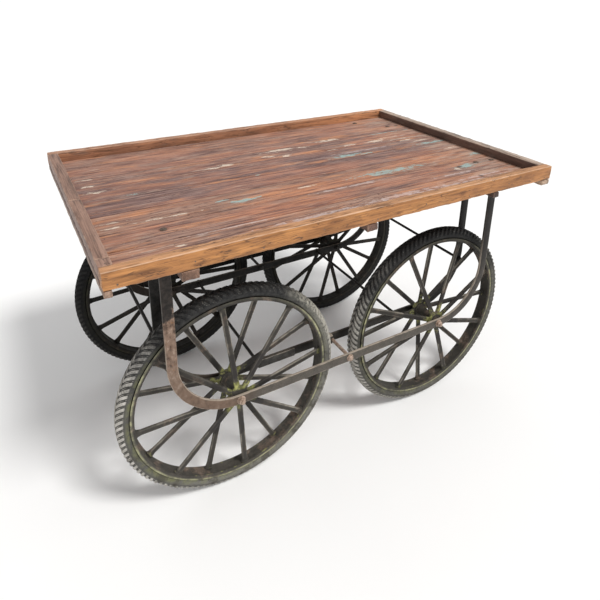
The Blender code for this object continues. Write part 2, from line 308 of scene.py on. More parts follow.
WARP_CLOUDS = clouds("board_warp", 0.22, 1)
CHIP_CLOUDS = clouds("arris_chips", 0.022, 3)
SCALE_CLOUDS = clouds("iron_scale", 0.012, 2)


def second_smallest(values):
    return sorted(values)[1]


def roughen(obj, low, high, warp, chip, reach):
    """Warps a board a little, and wears its arrises by uneven chips."""
    finish_modifier(
        obj, "DISPLACE", texture=WARP_CLOUDS, texture_coords="GLOBAL", strength=warp, mid_level=0.5
    )
    arris = obj.vertex_groups.new(name="arris")
    for vertex in obj.data.vertices:
        gaps = [min(abs(vertex.co[i] - low[i]), abs(high[i] - vertex.co[i])) for i in range(3)]
        weight = 1.0 - second_smallest(gaps) / reach
        if weight > 0:
            arris.add([vertex.index], weight, "REPLACE")
    finish_modifier(
        obj,
        "DISPLACE",
        texture=CHIP_CLOUDS,
        texture_coords="GLOBAL",
        strength=chip,
        mid_level=0.72,
        vertex_group="arris",
    )


def make_board(name, node, along=0, warp=0.0010, chip=0.0040, rounding=0.0022, spacing=0.016, shrink=0.0):
    """A sawn board in the place of a CAD node: cut into loops, its arrises rounded, warped and chipped."""
    low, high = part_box(node)
    low = low + Vector((shrink, shrink, 0))
    high = high - Vector((shrink, shrink, 0))
    board = add_block(name, low, high)
    round_edges(board, rounding, 3)
    size = high - low
    for axis in range(3):
        step = spacing if axis == along else 0.011
        cuts = int(size[axis] / step)
        if cuts:
            cut_along(board, axis, cuts)
    roughen(board, low, high, warp, chip, 0.010)
    smooth(board, 40)
    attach(board, "cart_frame")
    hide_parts(node)
    return board


# Node helpers


def put(tree, kind, inputs=None, **settings):
    """A node with its settings, and its inputs either linked or given a value."""
    node = tree.nodes.new(kind)
    for key, value in settings.items():
        setattr(node, key, value)
    for key, value in (inputs or {}).items():
        socket = node.inputs[key]
        if isinstance(value, bpy.types.NodeSocket):
            tree.links.new(value, socket)
        else:
            socket.default_value = value
    return node


def maths(tree, operation, a, b=0.0, c=0.0, clamp=False):
    return put(tree, "ShaderNodeMath", {0: a, 1: b, 2: c}, operation=operation, use_clamp=clamp).outputs[0]


def times(tree, a, b, clamp=False):
    return maths(tree, "MULTIPLY", a, b, clamp=clamp)


def times_plus(tree, a, b, c):
    return maths(tree, "MULTIPLY_ADD", a, b, c)


def plus(tree, a, b):
    return maths(tree, "ADD", a, b)


def minus(tree, a, b, clamp=False):
    return maths(tree, "SUBTRACT", a, b, clamp=clamp)


def absolute(tree, a):
    return maths(tree, "ABSOLUTE", a)


def larger(tree, a, b):
    return maths(tree, "MAXIMUM", a, b)


def smaller(tree, a, b):
    return maths(tree, "MINIMUM", a, b)


def vector(tree, x=0.0, y=0.0, z=0.0):
    return put(tree, "ShaderNodeCombineXYZ", {0: x, 1: y, 2: z}).outputs[0]


def axes(tree, place):
    """The x, y and z of a vector."""
    return put(tree, "ShaderNodeSeparateXYZ", {0: place}).outputs


def vectors(tree, operation, a, b=(0.0, 0.0, 0.0)):
    return put(tree, "ShaderNodeVectorMath", {0: a, 1: b}, operation=operation).outputs[0]


def length(tree, place):
    return put(tree, "ShaderNodeVectorMath", {0: place}, operation="LENGTH").outputs["Value"]


def colour(value):
    """A colour written as three numbers gets its fourth. A socket stays as it is."""
    return (*value, 1.0) if isinstance(value, tuple) else value


def mixed(tree, factor, a, b):
    inputs = {0: factor, 6: colour(a), 7: colour(b)}
    return put(tree, "ShaderNodeMix", inputs, data_type="RGBA", clamp_factor=True).outputs[2]


def coat(tree, tone, mask, strength, paint):
    """The tone under a coat of paint that the mask lets through."""
    return mixed(tree, times(tree, mask, strength), tone, paint)


def noise(tree, vector, scale, detail=4.0, roughness=0.55, distortion=0.0):
    inputs = {
        "Vector": vector, "Scale": scale, "Detail": detail, "Roughness": roughness, "Distortion": distortion
    }
    return put(tree, "ShaderNodeTexNoise", inputs).outputs["Fac"]


def stretched(tree, vector, scale, shift=(0, 0, 0)):
    return put(tree, "ShaderNodeMapping", {"Vector": vector, "Location": shift, "Scale": scale}).outputs[0]


def streaky(tree, vector, scale, detail=4.0, roughness=0.55, shift=(0, 0, 0)):
    """Noise drawn out along an axis by a scale for each axis."""
    return noise(tree, stretched(tree, vector, scale, shift), 1.0, detail, roughness)


def fade(tree, value, start, end, low=0.0, high=1.0):
    """The value taken from start..end to low..high, clamped."""
    inputs = {"Value": value, "From Min": start, "From Max": end, "To Min": low, "To Max": high}
    return put(tree, "ShaderNodeMapRange", inputs, clamp=True).outputs[0]


def new_group(name, inputs):
    """A node group and its inputs. A number is a float input, and anything else a vector."""
    group = bpy.data.node_groups.new(name, "ShaderNodeTree")
    for label, value in inputs.items():
        kind = "NodeSocketFloat" if isinstance(value, float) else "NodeSocketVector"
        socket = group.interface.new_socket(name=label, in_out="INPUT", socket_type=kind)
        if value is not None:
            socket.default_value = value
    return group, group.nodes.new("NodeGroupInput").outputs


def end_group(group, results):
    """Gives a node group its outputs. The one named Colour is a colour, and the others are floats."""
    for label in results:
        kind = "NodeSocketColor" if label == "Colour" else "NodeSocketFloat"
        group.interface.new_socket(name=label, in_out="OUTPUT", socket_type=kind)
    sockets = group.nodes.new("NodeGroupOutput").inputs
    for label, value in results.items():
        group.links.new(value, sockets[label])
    return group


def use_group(tree, group, inputs):
    return put(tree, "ShaderNodeGroup", inputs, node_tree=group).outputs


# Shared effects


def grain_group():
    """Grain that runs along X: broad streaks, fine lines, dark pores and a height for bump."""
    tree, given = new_group("wood_grain", {"Vector": None, "Seed": 0.0, "Coarseness": 1.0})
    seed = vector(tree, given["Seed"], given["Seed"], given["Seed"])
    place = vectors(tree, "ADD", given["Vector"], seed)
    place = put(
        tree, "ShaderNodeVectorMath", {0: place, "Scale": given["Coarseness"]}, operation="SCALE"
    ).outputs[0]
    bend = streaky(tree, place, (2.0, 8.0, 8.0), 2.0)
    swing = vector(tree, 0.0, times(tree, bend, 0.030))
    place = vectors(tree, "ADD", place, swing)
    streaks = streaky(tree, place, (2.6, 46.0, 46.0), 3.0, 0.6)
    lines = streaky(tree, place, (7.0, 330.0, 330.0), 4.0, 0.65)
    pores = streaky(tree, place, (26.0, 900.0, 900.0), 2.0, 0.5)
    pore_mask = fade(tree, pores, 0.62, 0.76)
    height = times_plus(tree, pore_mask, -0.6, lines)
    return end_group(tree, {"Streaks": streaks, "Lines": lines, "Pores": pore_mask, "Height": height})


def edge_group():
    """Wear along the arrises of a box: the second smallest distance to its faces, broken up by noise."""
    tree, given = new_group(
        "edge_wear", {"Vector": None, "Low": None, "High": None, "Reach": 0.006, "Noise scale": 40.0}
    )
    to_low = vectors(tree, "SUBTRACT", given["Vector"], given["Low"])
    to_high = vectors(tree, "SUBTRACT", given["High"], given["Vector"])
    gap = vectors(tree, "MINIMUM", to_low, to_high)
    x, y, z = axes(tree, gap)
    total = plus(tree, plus(tree, x, y), z)
    least = smaller(tree, smaller(tree, x, y), z)
    most = larger(tree, larger(tree, x, y), z)
    second = minus(tree, minus(tree, total, least), most)
    breakup = noise(tree, given["Vector"], given["Noise scale"], 3.0, 0.6)
    reach = times(tree, given["Reach"], times_plus(tree, breakup, 2.4, -0.4))
    mask = minus(tree, 1.0, maths(tree, "DIVIDE", second, reach), clamp=True)
    return end_group(tree, {"Mask": mask})


def scrap_group():
    """One ragged scrap of old paint: an ellipse eaten away along the grain, with holes and crumbs."""
    tree, given = new_group(
        "paint_scrap", {"Vector": None, "Centre": None, "Half size": (1.0, 1.0, 1.0), "Raggedness": 1.0}
    )
    offset = vectors(tree, "SUBTRACT", given["Vector"], given["Centre"])
    share = vectors(tree, "DIVIDE", offset, given["Half size"])
    distance = length(tree, share)
    ragged = streaky(tree, given["Vector"], (34.0, 105.0, 30.0), 8.0, 0.72)
    ragged = times(tree, minus(tree, ragged, 0.50), given["Raggedness"])
    edge = times_plus(tree, ragged, 8.5, distance)
    mask = fade(tree, edge, 1.15, 0.80)
    holes = streaky(tree, given["Vector"], (75.0, 300.0, 40.0), 5.0, 0.7)
    mask = times(tree, mask, fade(tree, holes, 0.34, 0.46, 0.15, 1.0))
    crumbs = fade(tree, holes, 0.62, 0.66, 0.0, 0.8)
    crumbs = times(tree, crumbs, fade(tree, distance, 2.4, 1.4))
    return end_group(tree, {"Mask": larger(tree, mask, crumbs)})


def knot_group():
    """A knot: rings round a dark heart, with the grain darkening about it."""
    tree, given = new_group("wood_knot", {"Vector": None, "Centre": None, "Half size": (1.0, 1.0, 1.0)})
    offset = vectors(tree, "SUBTRACT", given["Vector"], given["Centre"])
    share = vectors(tree, "DIVIDE", offset, given["Half size"])
    distance = length(tree, share)
    waver = noise(tree, given["Vector"], 60.0, 3.0)
    distance = times_plus(tree, waver, 0.7, distance)
    rings = times_plus(tree, maths(tree, "SINE", times(tree, distance, 17.0)), 0.5, 0.5)
    return end_group(tree, {"Mask": fade(tree, distance, 1.5, 0.5), "Rings": rings})


def rust_group():
    """Rust over old black paint: a patchy mask, its colour and its pitted height."""
    tree, given = new_group("rust", {"Vector": None, "Amount": 0.5, "Scale": 30.0})
    patches = noise(tree, given["Vector"], given["Scale"], 7.0, 0.70)
    pits = noise(tree, given["Vector"], times(tree, given["Scale"], 9.0), 3.0, 0.6)
    level = plus(tree, patches, minus(tree, given["Amount"], 0.5))
    mask = fade(tree, level, 0.47, 0.56)
    shade = noise(tree, given["Vector"], times(tree, given["Scale"], 3.5), 5.0, 0.65)
    tint = mixed(tree, fade(tree, shade, 0.32, 0.50), (0.080, 0.050, 0.037), (0.255, 0.170, 0.125))
    tint = mixed(tree, fade(tree, shade, 0.54, 0.66, 0.0, 0.8), tint, (0.47, 0.365, 0.290))
    tint = mixed(tree, fade(tree, pits, 0.60, 0.72, 0.0, 0.7), tint, (0.30, 0.150, 0.075))
    return end_group(tree, {"Mask": mask, "Colour": tint, "Height": times_plus(tree, pits, 0.5, mask)})


def bar_edge_group():
    """The arrises of a bar bent to the tub's outline, found from the distance to the bar's middle line."""
    tree, given = new_group("bar_edge", {"Vector": None})
    middle_x = (LEFT_LEG_X + RIGHT_LEG_X) / 2
    straight = (RIGHT_LEG_X - LEFT_LEG_X) / 2 - BEND_RADIUS
    x, _, z = axes(tree, given["Vector"])
    past_x = minus(tree, absolute(tree, minus(tree, x, middle_x)), straight)
    past_z = minus(tree, HUB_HEIGHT + BEND_RADIUS, z)
    outside = vector(tree, larger(tree, past_x, 0.0), larger(tree, past_z, 0.0))
    reach = length(tree, outside)
    reach = plus(tree, reach, smaller(tree, larger(tree, past_x, past_z), 0.0))
    off_line = absolute(tree, minus(tree, reach, BEND_RADIUS))
    breakup = noise(tree, given["Vector"], 45.0, 4.0, 0.65)
    half = BAR_DEPTH / 2
    edge = times_plus(tree, breakup, 0.006, off_line)
    mask = fade(tree, edge, half + 0.0005, half + 0.0028)
    return end_group(tree, {"Mask": mask})


def dust_group():
    """Dust and splashed dirt: more of it low down, in patches."""
    tree, given = new_group("dust", {"Vector": None, "Top": 0.6, "Spread": 0.5, "Amount": 0.6})
    height = axes(tree, given["Vector"])[2]
    waver = times(tree, minus(tree, noise(tree, given["Vector"], 7.0, 4.0), 0.5), 0.30)
    below = plus(tree, minus(tree, given["Top"], height), waver)
    low = maths(tree, "DIVIDE", below, given["Spread"], clamp=True)
    patches = noise(tree, given["Vector"], 22.0, 5.0, 0.62)
    specks = noise(tree, given["Vector"], 240.0, 3.0, 0.6)
    level = times(tree, plus(tree, low, fade(tree, patches, 0.35, 0.75, 0.0, 0.6)), given["Amount"])
    mask = times(tree, level, fade(tree, specks, 0.30, 0.62, 0.45, 1.0), clamp=True)
    return end_group(tree, {"Mask": mask, "Specks": fade(tree, specks, 0.60, 0.70)})


GRAIN = grain_group()
EDGE_WEAR = edge_group()
PAINT_SCRAP = scrap_group()
KNOT = knot_group()
RUST = rust_group()
BAR_EDGE = bar_edge_group()
DUST = dust_group()


def new_material(name):
    """A node material, its tree, its shader and its Object coordinates."""
    material = bpy.data.materials.new(name)
    material.use_nodes = True
    tree = material.node_tree
    shader = tree.nodes["Principled BSDF"]
    coords = tree.nodes.new("ShaderNodeTexCoord").outputs["Object"]
    return material, tree, shader, coords


def wire(tree, shader, base, rough, height=None, strength=0.3, distance=0.001):
    """Feeds the shader its colour, its roughness and a bump."""
    tree.links.new(base, shader.inputs["Base Color"])
    if isinstance(rough, bpy.types.NodeSocket):
        tree.links.new(rough, shader.inputs["Roughness"])
    else:
        shader.inputs["Roughness"].default_value = rough
    if height is not None:
        bump = put(tree, "ShaderNodeBump", {"Strength": strength, "Distance": distance, "Height": height})
        tree.links.new(bump.outputs[0], shader.inputs["Normal"])


def along_y(tree, coords):
    """The coordinates turned so that grain made for X runs along Y."""
    x, y, z = axes(tree, coords)
    return vector(tree, y, x, z)


# Finishes


PLUM = (0.135, 0.080, 0.078)
EMBER = (0.66, 0.300, 0.150)
SCRUBBED = (0.66, 0.50, 0.41)
GRAIN_DARK = (0.060, 0.032, 0.029)


def deck_wood(name, box, seed, warm, cool, pale, scraps_cream=(), scraps_blue=(), scraps_haze=()):
    """Worn plank: brown to plum streaks, pale scrubbed lines, dirty joints and scraps of old paint."""
    material, tree, shader, coords = new_material(name)
    low, high = box
    grain = use_group(tree, GRAIN, {"Vector": coords, "Seed": seed})
    broad = streaky(tree, coords, (2.6, 13.0, 6.0), 4.0, 0.62, (seed, 0, 0))
    tone = mixed(tree, fade(tree, broad, 0.42, 0.58), warm, cool)
    streak = streaky(tree, coords, (6.5, 70.0, 40.0), 4.0, 0.62, (0, seed * 2.0, 0))
    tone = mixed(tree, fade(tree, streak, 0.50, 0.64, 0.0, 0.72), tone, PLUM)
    tone = mixed(tree, fade(tree, grain["Streaks"], 0.50, 0.66, 0.0, 0.45), tone, PLUM)
    glow = streaky(tree, coords, (5.0, 42.0, 20.0), 4.0, 0.65, (seed * 1.4, 0, 0))
    tone = mixed(tree, fade(tree, glow, 0.54, 0.68, 0.0, 0.80), tone, EMBER)
    scrub = streaky(tree, coords, (9.0, 105.0, 30.0), 5.0, 0.72, (seed * 3.0, 0, 0))
    tone = mixed(tree, fade(tree, scrub, 0.56, 0.72, 0.0, pale), tone, SCRUBBED)
    tone = mixed(tree, fade(tree, grain["Lines"], 0.40, 0.60, 0.45, 0.0), tone, GRAIN_DARK)
    tone = mixed(tree, fade(tree, grain["Lines"], 0.58, 0.72, 0.0, 0.30), tone, SCRUBBED)
    tone = coat(tree, tone, grain["Pores"], 0.55, GRAIN_DARK)
    crumbs = streaky(tree, coords, (60.0, 330.0, 60.0), 3.0, 0.6, (0, seed, 0))
    tone = mixed(tree, fade(tree, crumbs, 0.715, 0.74, 0.0, 0.8), tone, (0.70, 0.60, 0.50))
    x, _, z = axes(tree, coords)
    bleach = streaky(tree, coords, (10.0, 48.0, 20.0), 6.0, 0.70, (seed * 2.2, 0, 0))
    far_end = fade(tree, x, 0.42, 0.74, 0.10, 0.26)
    near_end = fade(tree, x, -0.60, -0.76, 0.0, 0.14)
    bleach = plus(tree, bleach, larger(tree, far_end, near_end))
    tone = mixed(tree, fade(tree, bleach, 0.66, 0.86, 0.0, 0.62), tone, (0.50, 0.385, 0.315))
    crack = streaky(tree, coords, (5.0, 52.0, 20.0), 3.0, 0.55, (0, seed * 4.0, 0))
    crack = fade(tree, absolute(tree, minus(tree, crack, 0.5)), 0.016, 0.004)
    crack = times(tree, crack, fade(tree, broad, 0.50, 0.60, 0.0, 0.75))
    tone = mixed(tree, crack, tone, GRAIN_DARK)
    top = fade(tree, z, high.z - 0.0045, high.z - 0.0025)
    rough = fade(tree, grain["Lines"], 0.3, 0.7, 0.68, 0.50)
    height = grain["Height"]
    coats = (
        (scraps_haze, (0.62, 0.52, 0.50), 0.55),
        (scraps_cream, (0.72, 0.61, 0.50), 0.80),
        (scraps_blue, (0.33, 0.46, 0.44), 0.85),
    )
    for scraps, paint, strength in coats:
        for along, across, half_long, half_wide in scraps:
            inputs = {
                "Vector": coords, "Centre": (along, across, high.z),
                "Half size": (half_long, half_wide, 0.05),
            }
            mask = use_group(tree, PAINT_SCRAP, inputs)["Mask"]
            mask = times(tree, mask, top)
            tone = coat(tree, tone, mask, strength, paint)
            height = times_plus(tree, mask, 0.35 * strength, height)
    wear = use_group(
        tree, EDGE_WEAR, {"Vector": coords, "Low": low, "High": high, "Reach": 0.0040, "Noise scale": 26.0}
    )
    tone = coat(tree, tone, wear["Mask"], 0.40, GRAIN_DARK)
    for along, across in DECK_HOLES + DECK_BOLTS:
        if low.y < across < high.y:
            inputs = {
                "Vector": coords, "Centre": (along, across, high.z), "Half size": (0.015, 0.010, 0.05)
            }
            stain = use_group(tree, KNOT, inputs)
            tone = coat(tree, tone, stain["Mask"], 0.92, (0.022, 0.015, 0.014))
    end = fade(tree, absolute(tree, x), high.x - 0.004, high.x - 0.002)
    tone = coat(tree, tone, end, 0.75, (0.060, 0.036, 0.028))
    under = fade(tree, z, low.z + 0.003, low.z + 0.001)
    tone = coat(tree, tone, under, 0.7, (0.110, 0.072, 0.052))
    tone = put(tree, "ShaderNodeBrightContrast", {0: tone, 1: 0.022, 2: 0.10}).outputs[0]
    wire(tree, shader, tone, rough, height, 0.65, 0.0014)
    shader.inputs["Specular IOR Level"].default_value = 0.40
    return material


def rail_wood(
    name, box, seed, warm, deep, grain_y=False, knots=(), wear=0.8, grey=0.15, top_tone=None, arris_highlight=False,
    veins=0.85, sunny=None,
):
    """Waxed hardwood rail: honey to brown grain, knots, veins, dark nicks, pale worn arrises and, when asked,
    a painted highlight along the top front arris.
    """
    material, tree, shader, coords = new_material(name)
    low, high = box
    grain_coords = along_y(tree, coords) if grain_y else coords
    grain = use_group(tree, GRAIN, {"Vector": grain_coords, "Seed": seed, "Coarseness": 0.8})
    broad = streaky(tree, grain_coords, (5.0, 22.0, 22.0), 4.0, 0.62, (seed, 0, 0))
    tone = mixed(tree, fade(tree, broad, 0.38, 0.62), warm, deep)
    if top_tone is not None:
        z = axes(tree, coords)[2]
        ragged_z = times_plus(tree, noise(tree, grain_coords, 30.0, 3.0), 0.002, z)
        top = fade(tree, ragged_z, high.z - 0.0018, high.z - 0.0004)
        tone = coat(tree, tone, top, fade(tree, broad, 0.30, 0.60, 1.0, 0.55), top_tone)
    # Painted sunlight: the rail grows lighter towards +X.
    if sunny is not None:
        x = axes(tree, coords)[0]
        tone = mixed(tree, fade(tree, x, 0.05, 0.55, 0.0, 0.75), tone, sunny)
    streak = streaky(tree, grain_coords, (8.0, 90.0, 90.0), 4.0, 0.62, (0, seed, 0))
    dark = tuple(0.38 * part for part in deep)
    tone = mixed(tree, fade(tree, streak, 0.52, 0.66, 0.0, 0.70), tone, dark)
    tone = mixed(tree, fade(tree, grain["Lines"], 0.40, 0.60, 0.45, 0.0), tone, dark)
    blotch = streaky(tree, grain_coords, (14.0, 40.0, 40.0), 5.0, 0.65, (0, seed, 0))
    tone = mixed(tree, fade(tree, blotch, 0.56, 0.70, 0.0, grey), tone, (0.20, 0.155, 0.130))
    tone = coat(tree, tone, grain["Pores"], 0.50, (0.040, 0.020, 0.012))
    height = grain["Height"]
    for centre, half in knots:
        knot = use_group(tree, KNOT, {"Vector": coords, "Centre": centre, "Half size": half})
        ring = mixed(tree, knot["Rings"], (0.080, 0.028, 0.012), (0.22, 0.090, 0.034))
        tone = coat(tree, tone, knot["Mask"], 0.85, ring)
        height = times_plus(tree, knot["Mask"], -0.3, height)
    worn = use_group(
        tree, EDGE_WEAR, {"Vector": coords, "Low": low, "High": high, "Reach": 0.0042, "Noise scale": 34.0}
    )
    pale = mixed(tree, 0.60, tone, (0.62, 0.42, 0.30))
    tone = coat(tree, tone, worn["Mask"], wear, pale)
    # Painted highlight: a pale line along the top front arris.
    if arris_highlight:
        y, z = axes(tree, coords)[1:3]
        line = fade(tree, z, high.z - 0.0036, high.z - 0.0022)
        line = times(tree, line, fade(tree, y, low.y + 0.0034, low.y + 0.0022))
        line = times(tree, line, fade(tree, broad, 0.36, 0.52, 0.60, 0.25))
        tone = mixed(tree, line, tone, (0.74, 0.52, 0.36))
    vein = streaky(tree, grain_coords, (4.5, 38.0, 38.0), 4.0, 0.60, (seed * 3.0, 0, 0))
    vein = fade(tree, absolute(tree, minus(tree, vein, 0.5)), 0.018, 0.004)
    vein = times(tree, vein, fade(tree, blotch, 0.46, 0.56, 0.0, veins))
    tone = mixed(tree, vein, tone, (0.075, 0.036, 0.022))
    nick = streaky(tree, grain_coords, (45.0, 90.0, 90.0), 5.0, 0.7, (seed, 0, 0))
    tone = mixed(tree, fade(tree, nick, 0.67, 0.73, 0.0, 0.80), tone, (0.040, 0.021, 0.014))
    rough = fade(tree, grain["Lines"], 0.3, 0.7, 0.62, 0.44)
    wire(tree, shader, tone, rough, height, 0.50, 0.0012)
    shader.inputs["Specular IOR Level"].default_value = 0.40
    return material


def black_iron(
    name, rust, rust_above, rust_below, run_dust, base=(0.014, 0.013, 0.012), edge=0.6, spec=0.30
):
    """Flat bar under old black paint, with rust that grows from rust_above down to rust_below, and a painted
    highlight along its arrises.
    """
    material, tree, shader, coords = new_material(name)
    place_x, _, height_z = axes(tree, coords)
    waver = noise(tree, coords, 9.0, 4.0, 0.6)
    level = times_plus(tree, minus(tree, waver, 0.5), 0.22, height_z)
    rusted_leg = fade(tree, place_x, -0.38, -0.46, 0.20, 1.0)
    amount = times(tree, fade(tree, level, rust_above, rust_below, 0.06, rust), rusted_leg)
    worn = use_group(
        tree, RUST, {"Vector": stretched(tree, coords, (1.0, 1.0, 0.7)), "Amount": amount, "Scale": 19.0}
    )
    sheen = noise(tree, coords, 55.0, 6.0, 0.68)
    flakes = noise(tree, coords, 150.0, 4.0, 0.6)
    paint = mixed(tree, fade(tree, sheen, 0.42, 0.66), base, tuple(3.6 * part for part in base))
    tone = coat(tree, paint, worn["Mask"], 0.85, worn["Colour"])
    dust = use_group(tree, DUST, {"Vector": coords, "Top": 0.68, "Spread": 0.14, "Amount": run_dust})
    between = fade(tree, absolute(tree, place_x), 0.52, 0.34, 0.24, 0.60)
    tone = coat(tree, tone, dust["Mask"], between, (0.172, 0.155, 0.130))
    bend = times(
        tree, fade(tree, height_z, 0.56, 0.46, 0.0, 0.75 * rust), fade(tree, place_x, -0.34, -0.42)
    )
    tone = mixed(tree, bend, tone, (0.135, 0.088, 0.062))
    kept_paint = times(tree, fade(tree, height_z, 0.48, 0.64, 0.0, 0.70), fade(tree, place_x, 0.44, 0.54))
    tone = mixed(tree, kept_paint, tone, (0.011, 0.010, 0.010))
    # Painted highlight: the bar's narrow faces and arrises are made pale, more so low down.
    lit = use_group(tree, BAR_EDGE, {"Vector": coords})
    edge_highlight = fade(tree, height_z, 0.70, 0.56, 0.10 * edge, edge)
    tone = coat(tree, tone, lit["Mask"], edge_highlight, (0.46, 0.395, 0.325))
    tone = mixed(tree, fade(tree, flakes, 0.64, 0.74, 0.0, 0.3), tone, (0.020, 0.016, 0.014))
    rough = fade(tree, worn["Mask"], 0.0, 1.0, 0.50, 0.85)
    wire(tree, shader, tone, rough, times_plus(tree, sheen, 0.5, worn["Height"]), 0.60, 0.0012)
    shader.inputs["Specular IOR Level"].default_value = spec
    return material


def wheel_iron(name, centre, first_spoke, moss, dust_amount, light, spec=0.30):
    """Hub, spokes and rim: brown-black iron, dusty greys, painted shade on the spokes towards the hub and
    down their middles, and moss at the spoke roots and the rim's lips.
    """
    material, tree, shader, coords = new_material(name)
    shifted = stretched(tree, coords, (1.0, 1.0, 1.0), (-centre.x, -centre.y, -centre.z))
    x, y, z = axes(tree, shifted)
    flat = vector(tree, x, 0.0, z)
    radius = length(tree, flat)
    worn = use_group(tree, RUST, {"Vector": coords, "Amount": 0.44, "Scale": 16.0})
    film = noise(tree, coords, 48.0, 6.0, 0.68)
    tone = mixed(
        tree, fade(tree, film, 0.34, 0.66), (0.018, 0.017, 0.015), (light, light * 0.90, light * 0.78)
    )
    tone = coat(tree, tone, worn["Mask"], 0.10 + 0.35 * moss, worn["Colour"])
    dust = use_group(tree, DUST, {"Vector": coords, "Top": 0.80, "Amount": dust_amount})
    tone = coat(tree, tone, dust["Mask"], 0.34, (0.155, 0.142, 0.116))
    turn = minus(tree, maths(tree, "ARCTAN2", z, x), math.radians(first_spoke))
    half_pitch = math.pi / SPOKES
    from_spoke = put(
        tree, "ShaderNodeMath", {0: turn, 1: half_pitch, 2: -half_pitch}, operation="WRAP"
    ).outputs[0]
    across = absolute(tree, times(tree, maths(tree, "SINE", from_spoke), radius))
    rub = noise(tree, coords, 60.0, 4.0, 0.65)
    arris = fade(tree, times_plus(tree, rub, 0.005, across), 0.0078, 0.0098)
    spoke_zone = times(tree, fade(tree, radius, 0.055, 0.075), fade(tree, radius, 0.305, 0.295))
    rubbed = fade(tree, noise(tree, coords, 11.0, 4.0, 0.6), 0.42, 0.60, 0.12, 1.0)
    arris = times(tree, times(tree, arris, spoke_zone), min(1.0, dust_amount * 1.4))
    arris = times(tree, arris, rubbed)
    # Painted shade: a dark strip down the middle of each spoke, as in a channel the flat spoke does not have.
    painted_channel_shade = fade(tree, times_plus(tree, rub, 0.006, across), 0.0085, 0.0055, 0.0, 0.50)
    tone = coat(tree, tone, painted_channel_shade, spoke_zone, (0.030, 0.026, 0.023))
    tone = mixed(tree, arris, tone, (0.35, 0.320, 0.270))
    # Painted shadow: the spokes darken to near black towards the hub.
    reach = times_plus(tree, noise(tree, coords, 7.0, 2.0), -0.34, radius)
    painted_hub_shadow = times(tree, fade(tree, reach, -0.022, -0.034, 0.0, 0.80), spoke_zone)
    tone = mixed(tree, painted_hub_shadow, tone, (0.026, 0.023, 0.022))
    growth = noise(tree, coords, 42.0, 6.0, 0.68)
    roots = times(tree, fade(tree, radius, 0.092, 0.050), fade(tree, radius, 0.022, 0.030, 0.25, 1.0))
    tips = times(
        tree, fade(tree, radius, 0.288, 0.310, 0.0, 0.62), fade(tree, radius, 0.3165, 0.3140, 0.08, 1.0)
    )
    lip = fade(tree, absolute(tree, y), 0.0185, 0.0205)
    lip = times(tree, lip, fade(tree, radius, 0.320, 0.325))
    lip = times(tree, lip, fade(tree, z, 0.28, 0.17, 0.12, 1.0))
    damp = larger(tree, larger(tree, roots, tips), lip)
    mossy = times(tree, fade(tree, times_plus(tree, damp, 0.20, growth), 0.66, 0.76), damp)
    green = mixed(tree, fade(tree, film, 0.40, 0.62), (0.120, 0.120, 0.035), (0.42, 0.42, 0.155))
    tone = coat(tree, tone, mossy, moss, green)
    rubbed_lip = times(tree, lip, fade(tree, growth, 0.38, 0.60, 0.15, 0.90))
    tone = coat(tree, tone, rubbed_lip, min(1.0, moss * 1.1), (0.37, 0.36, 0.235))
    wire(
        tree, shader, tone, fade(tree, film, 0.3, 0.7, 0.55, 0.82), plus(tree, film, worn["Height"]),
        0.50, 0.0012,
    )
    shader.inputs["Specular IOR Level"].default_value = spec
    return material


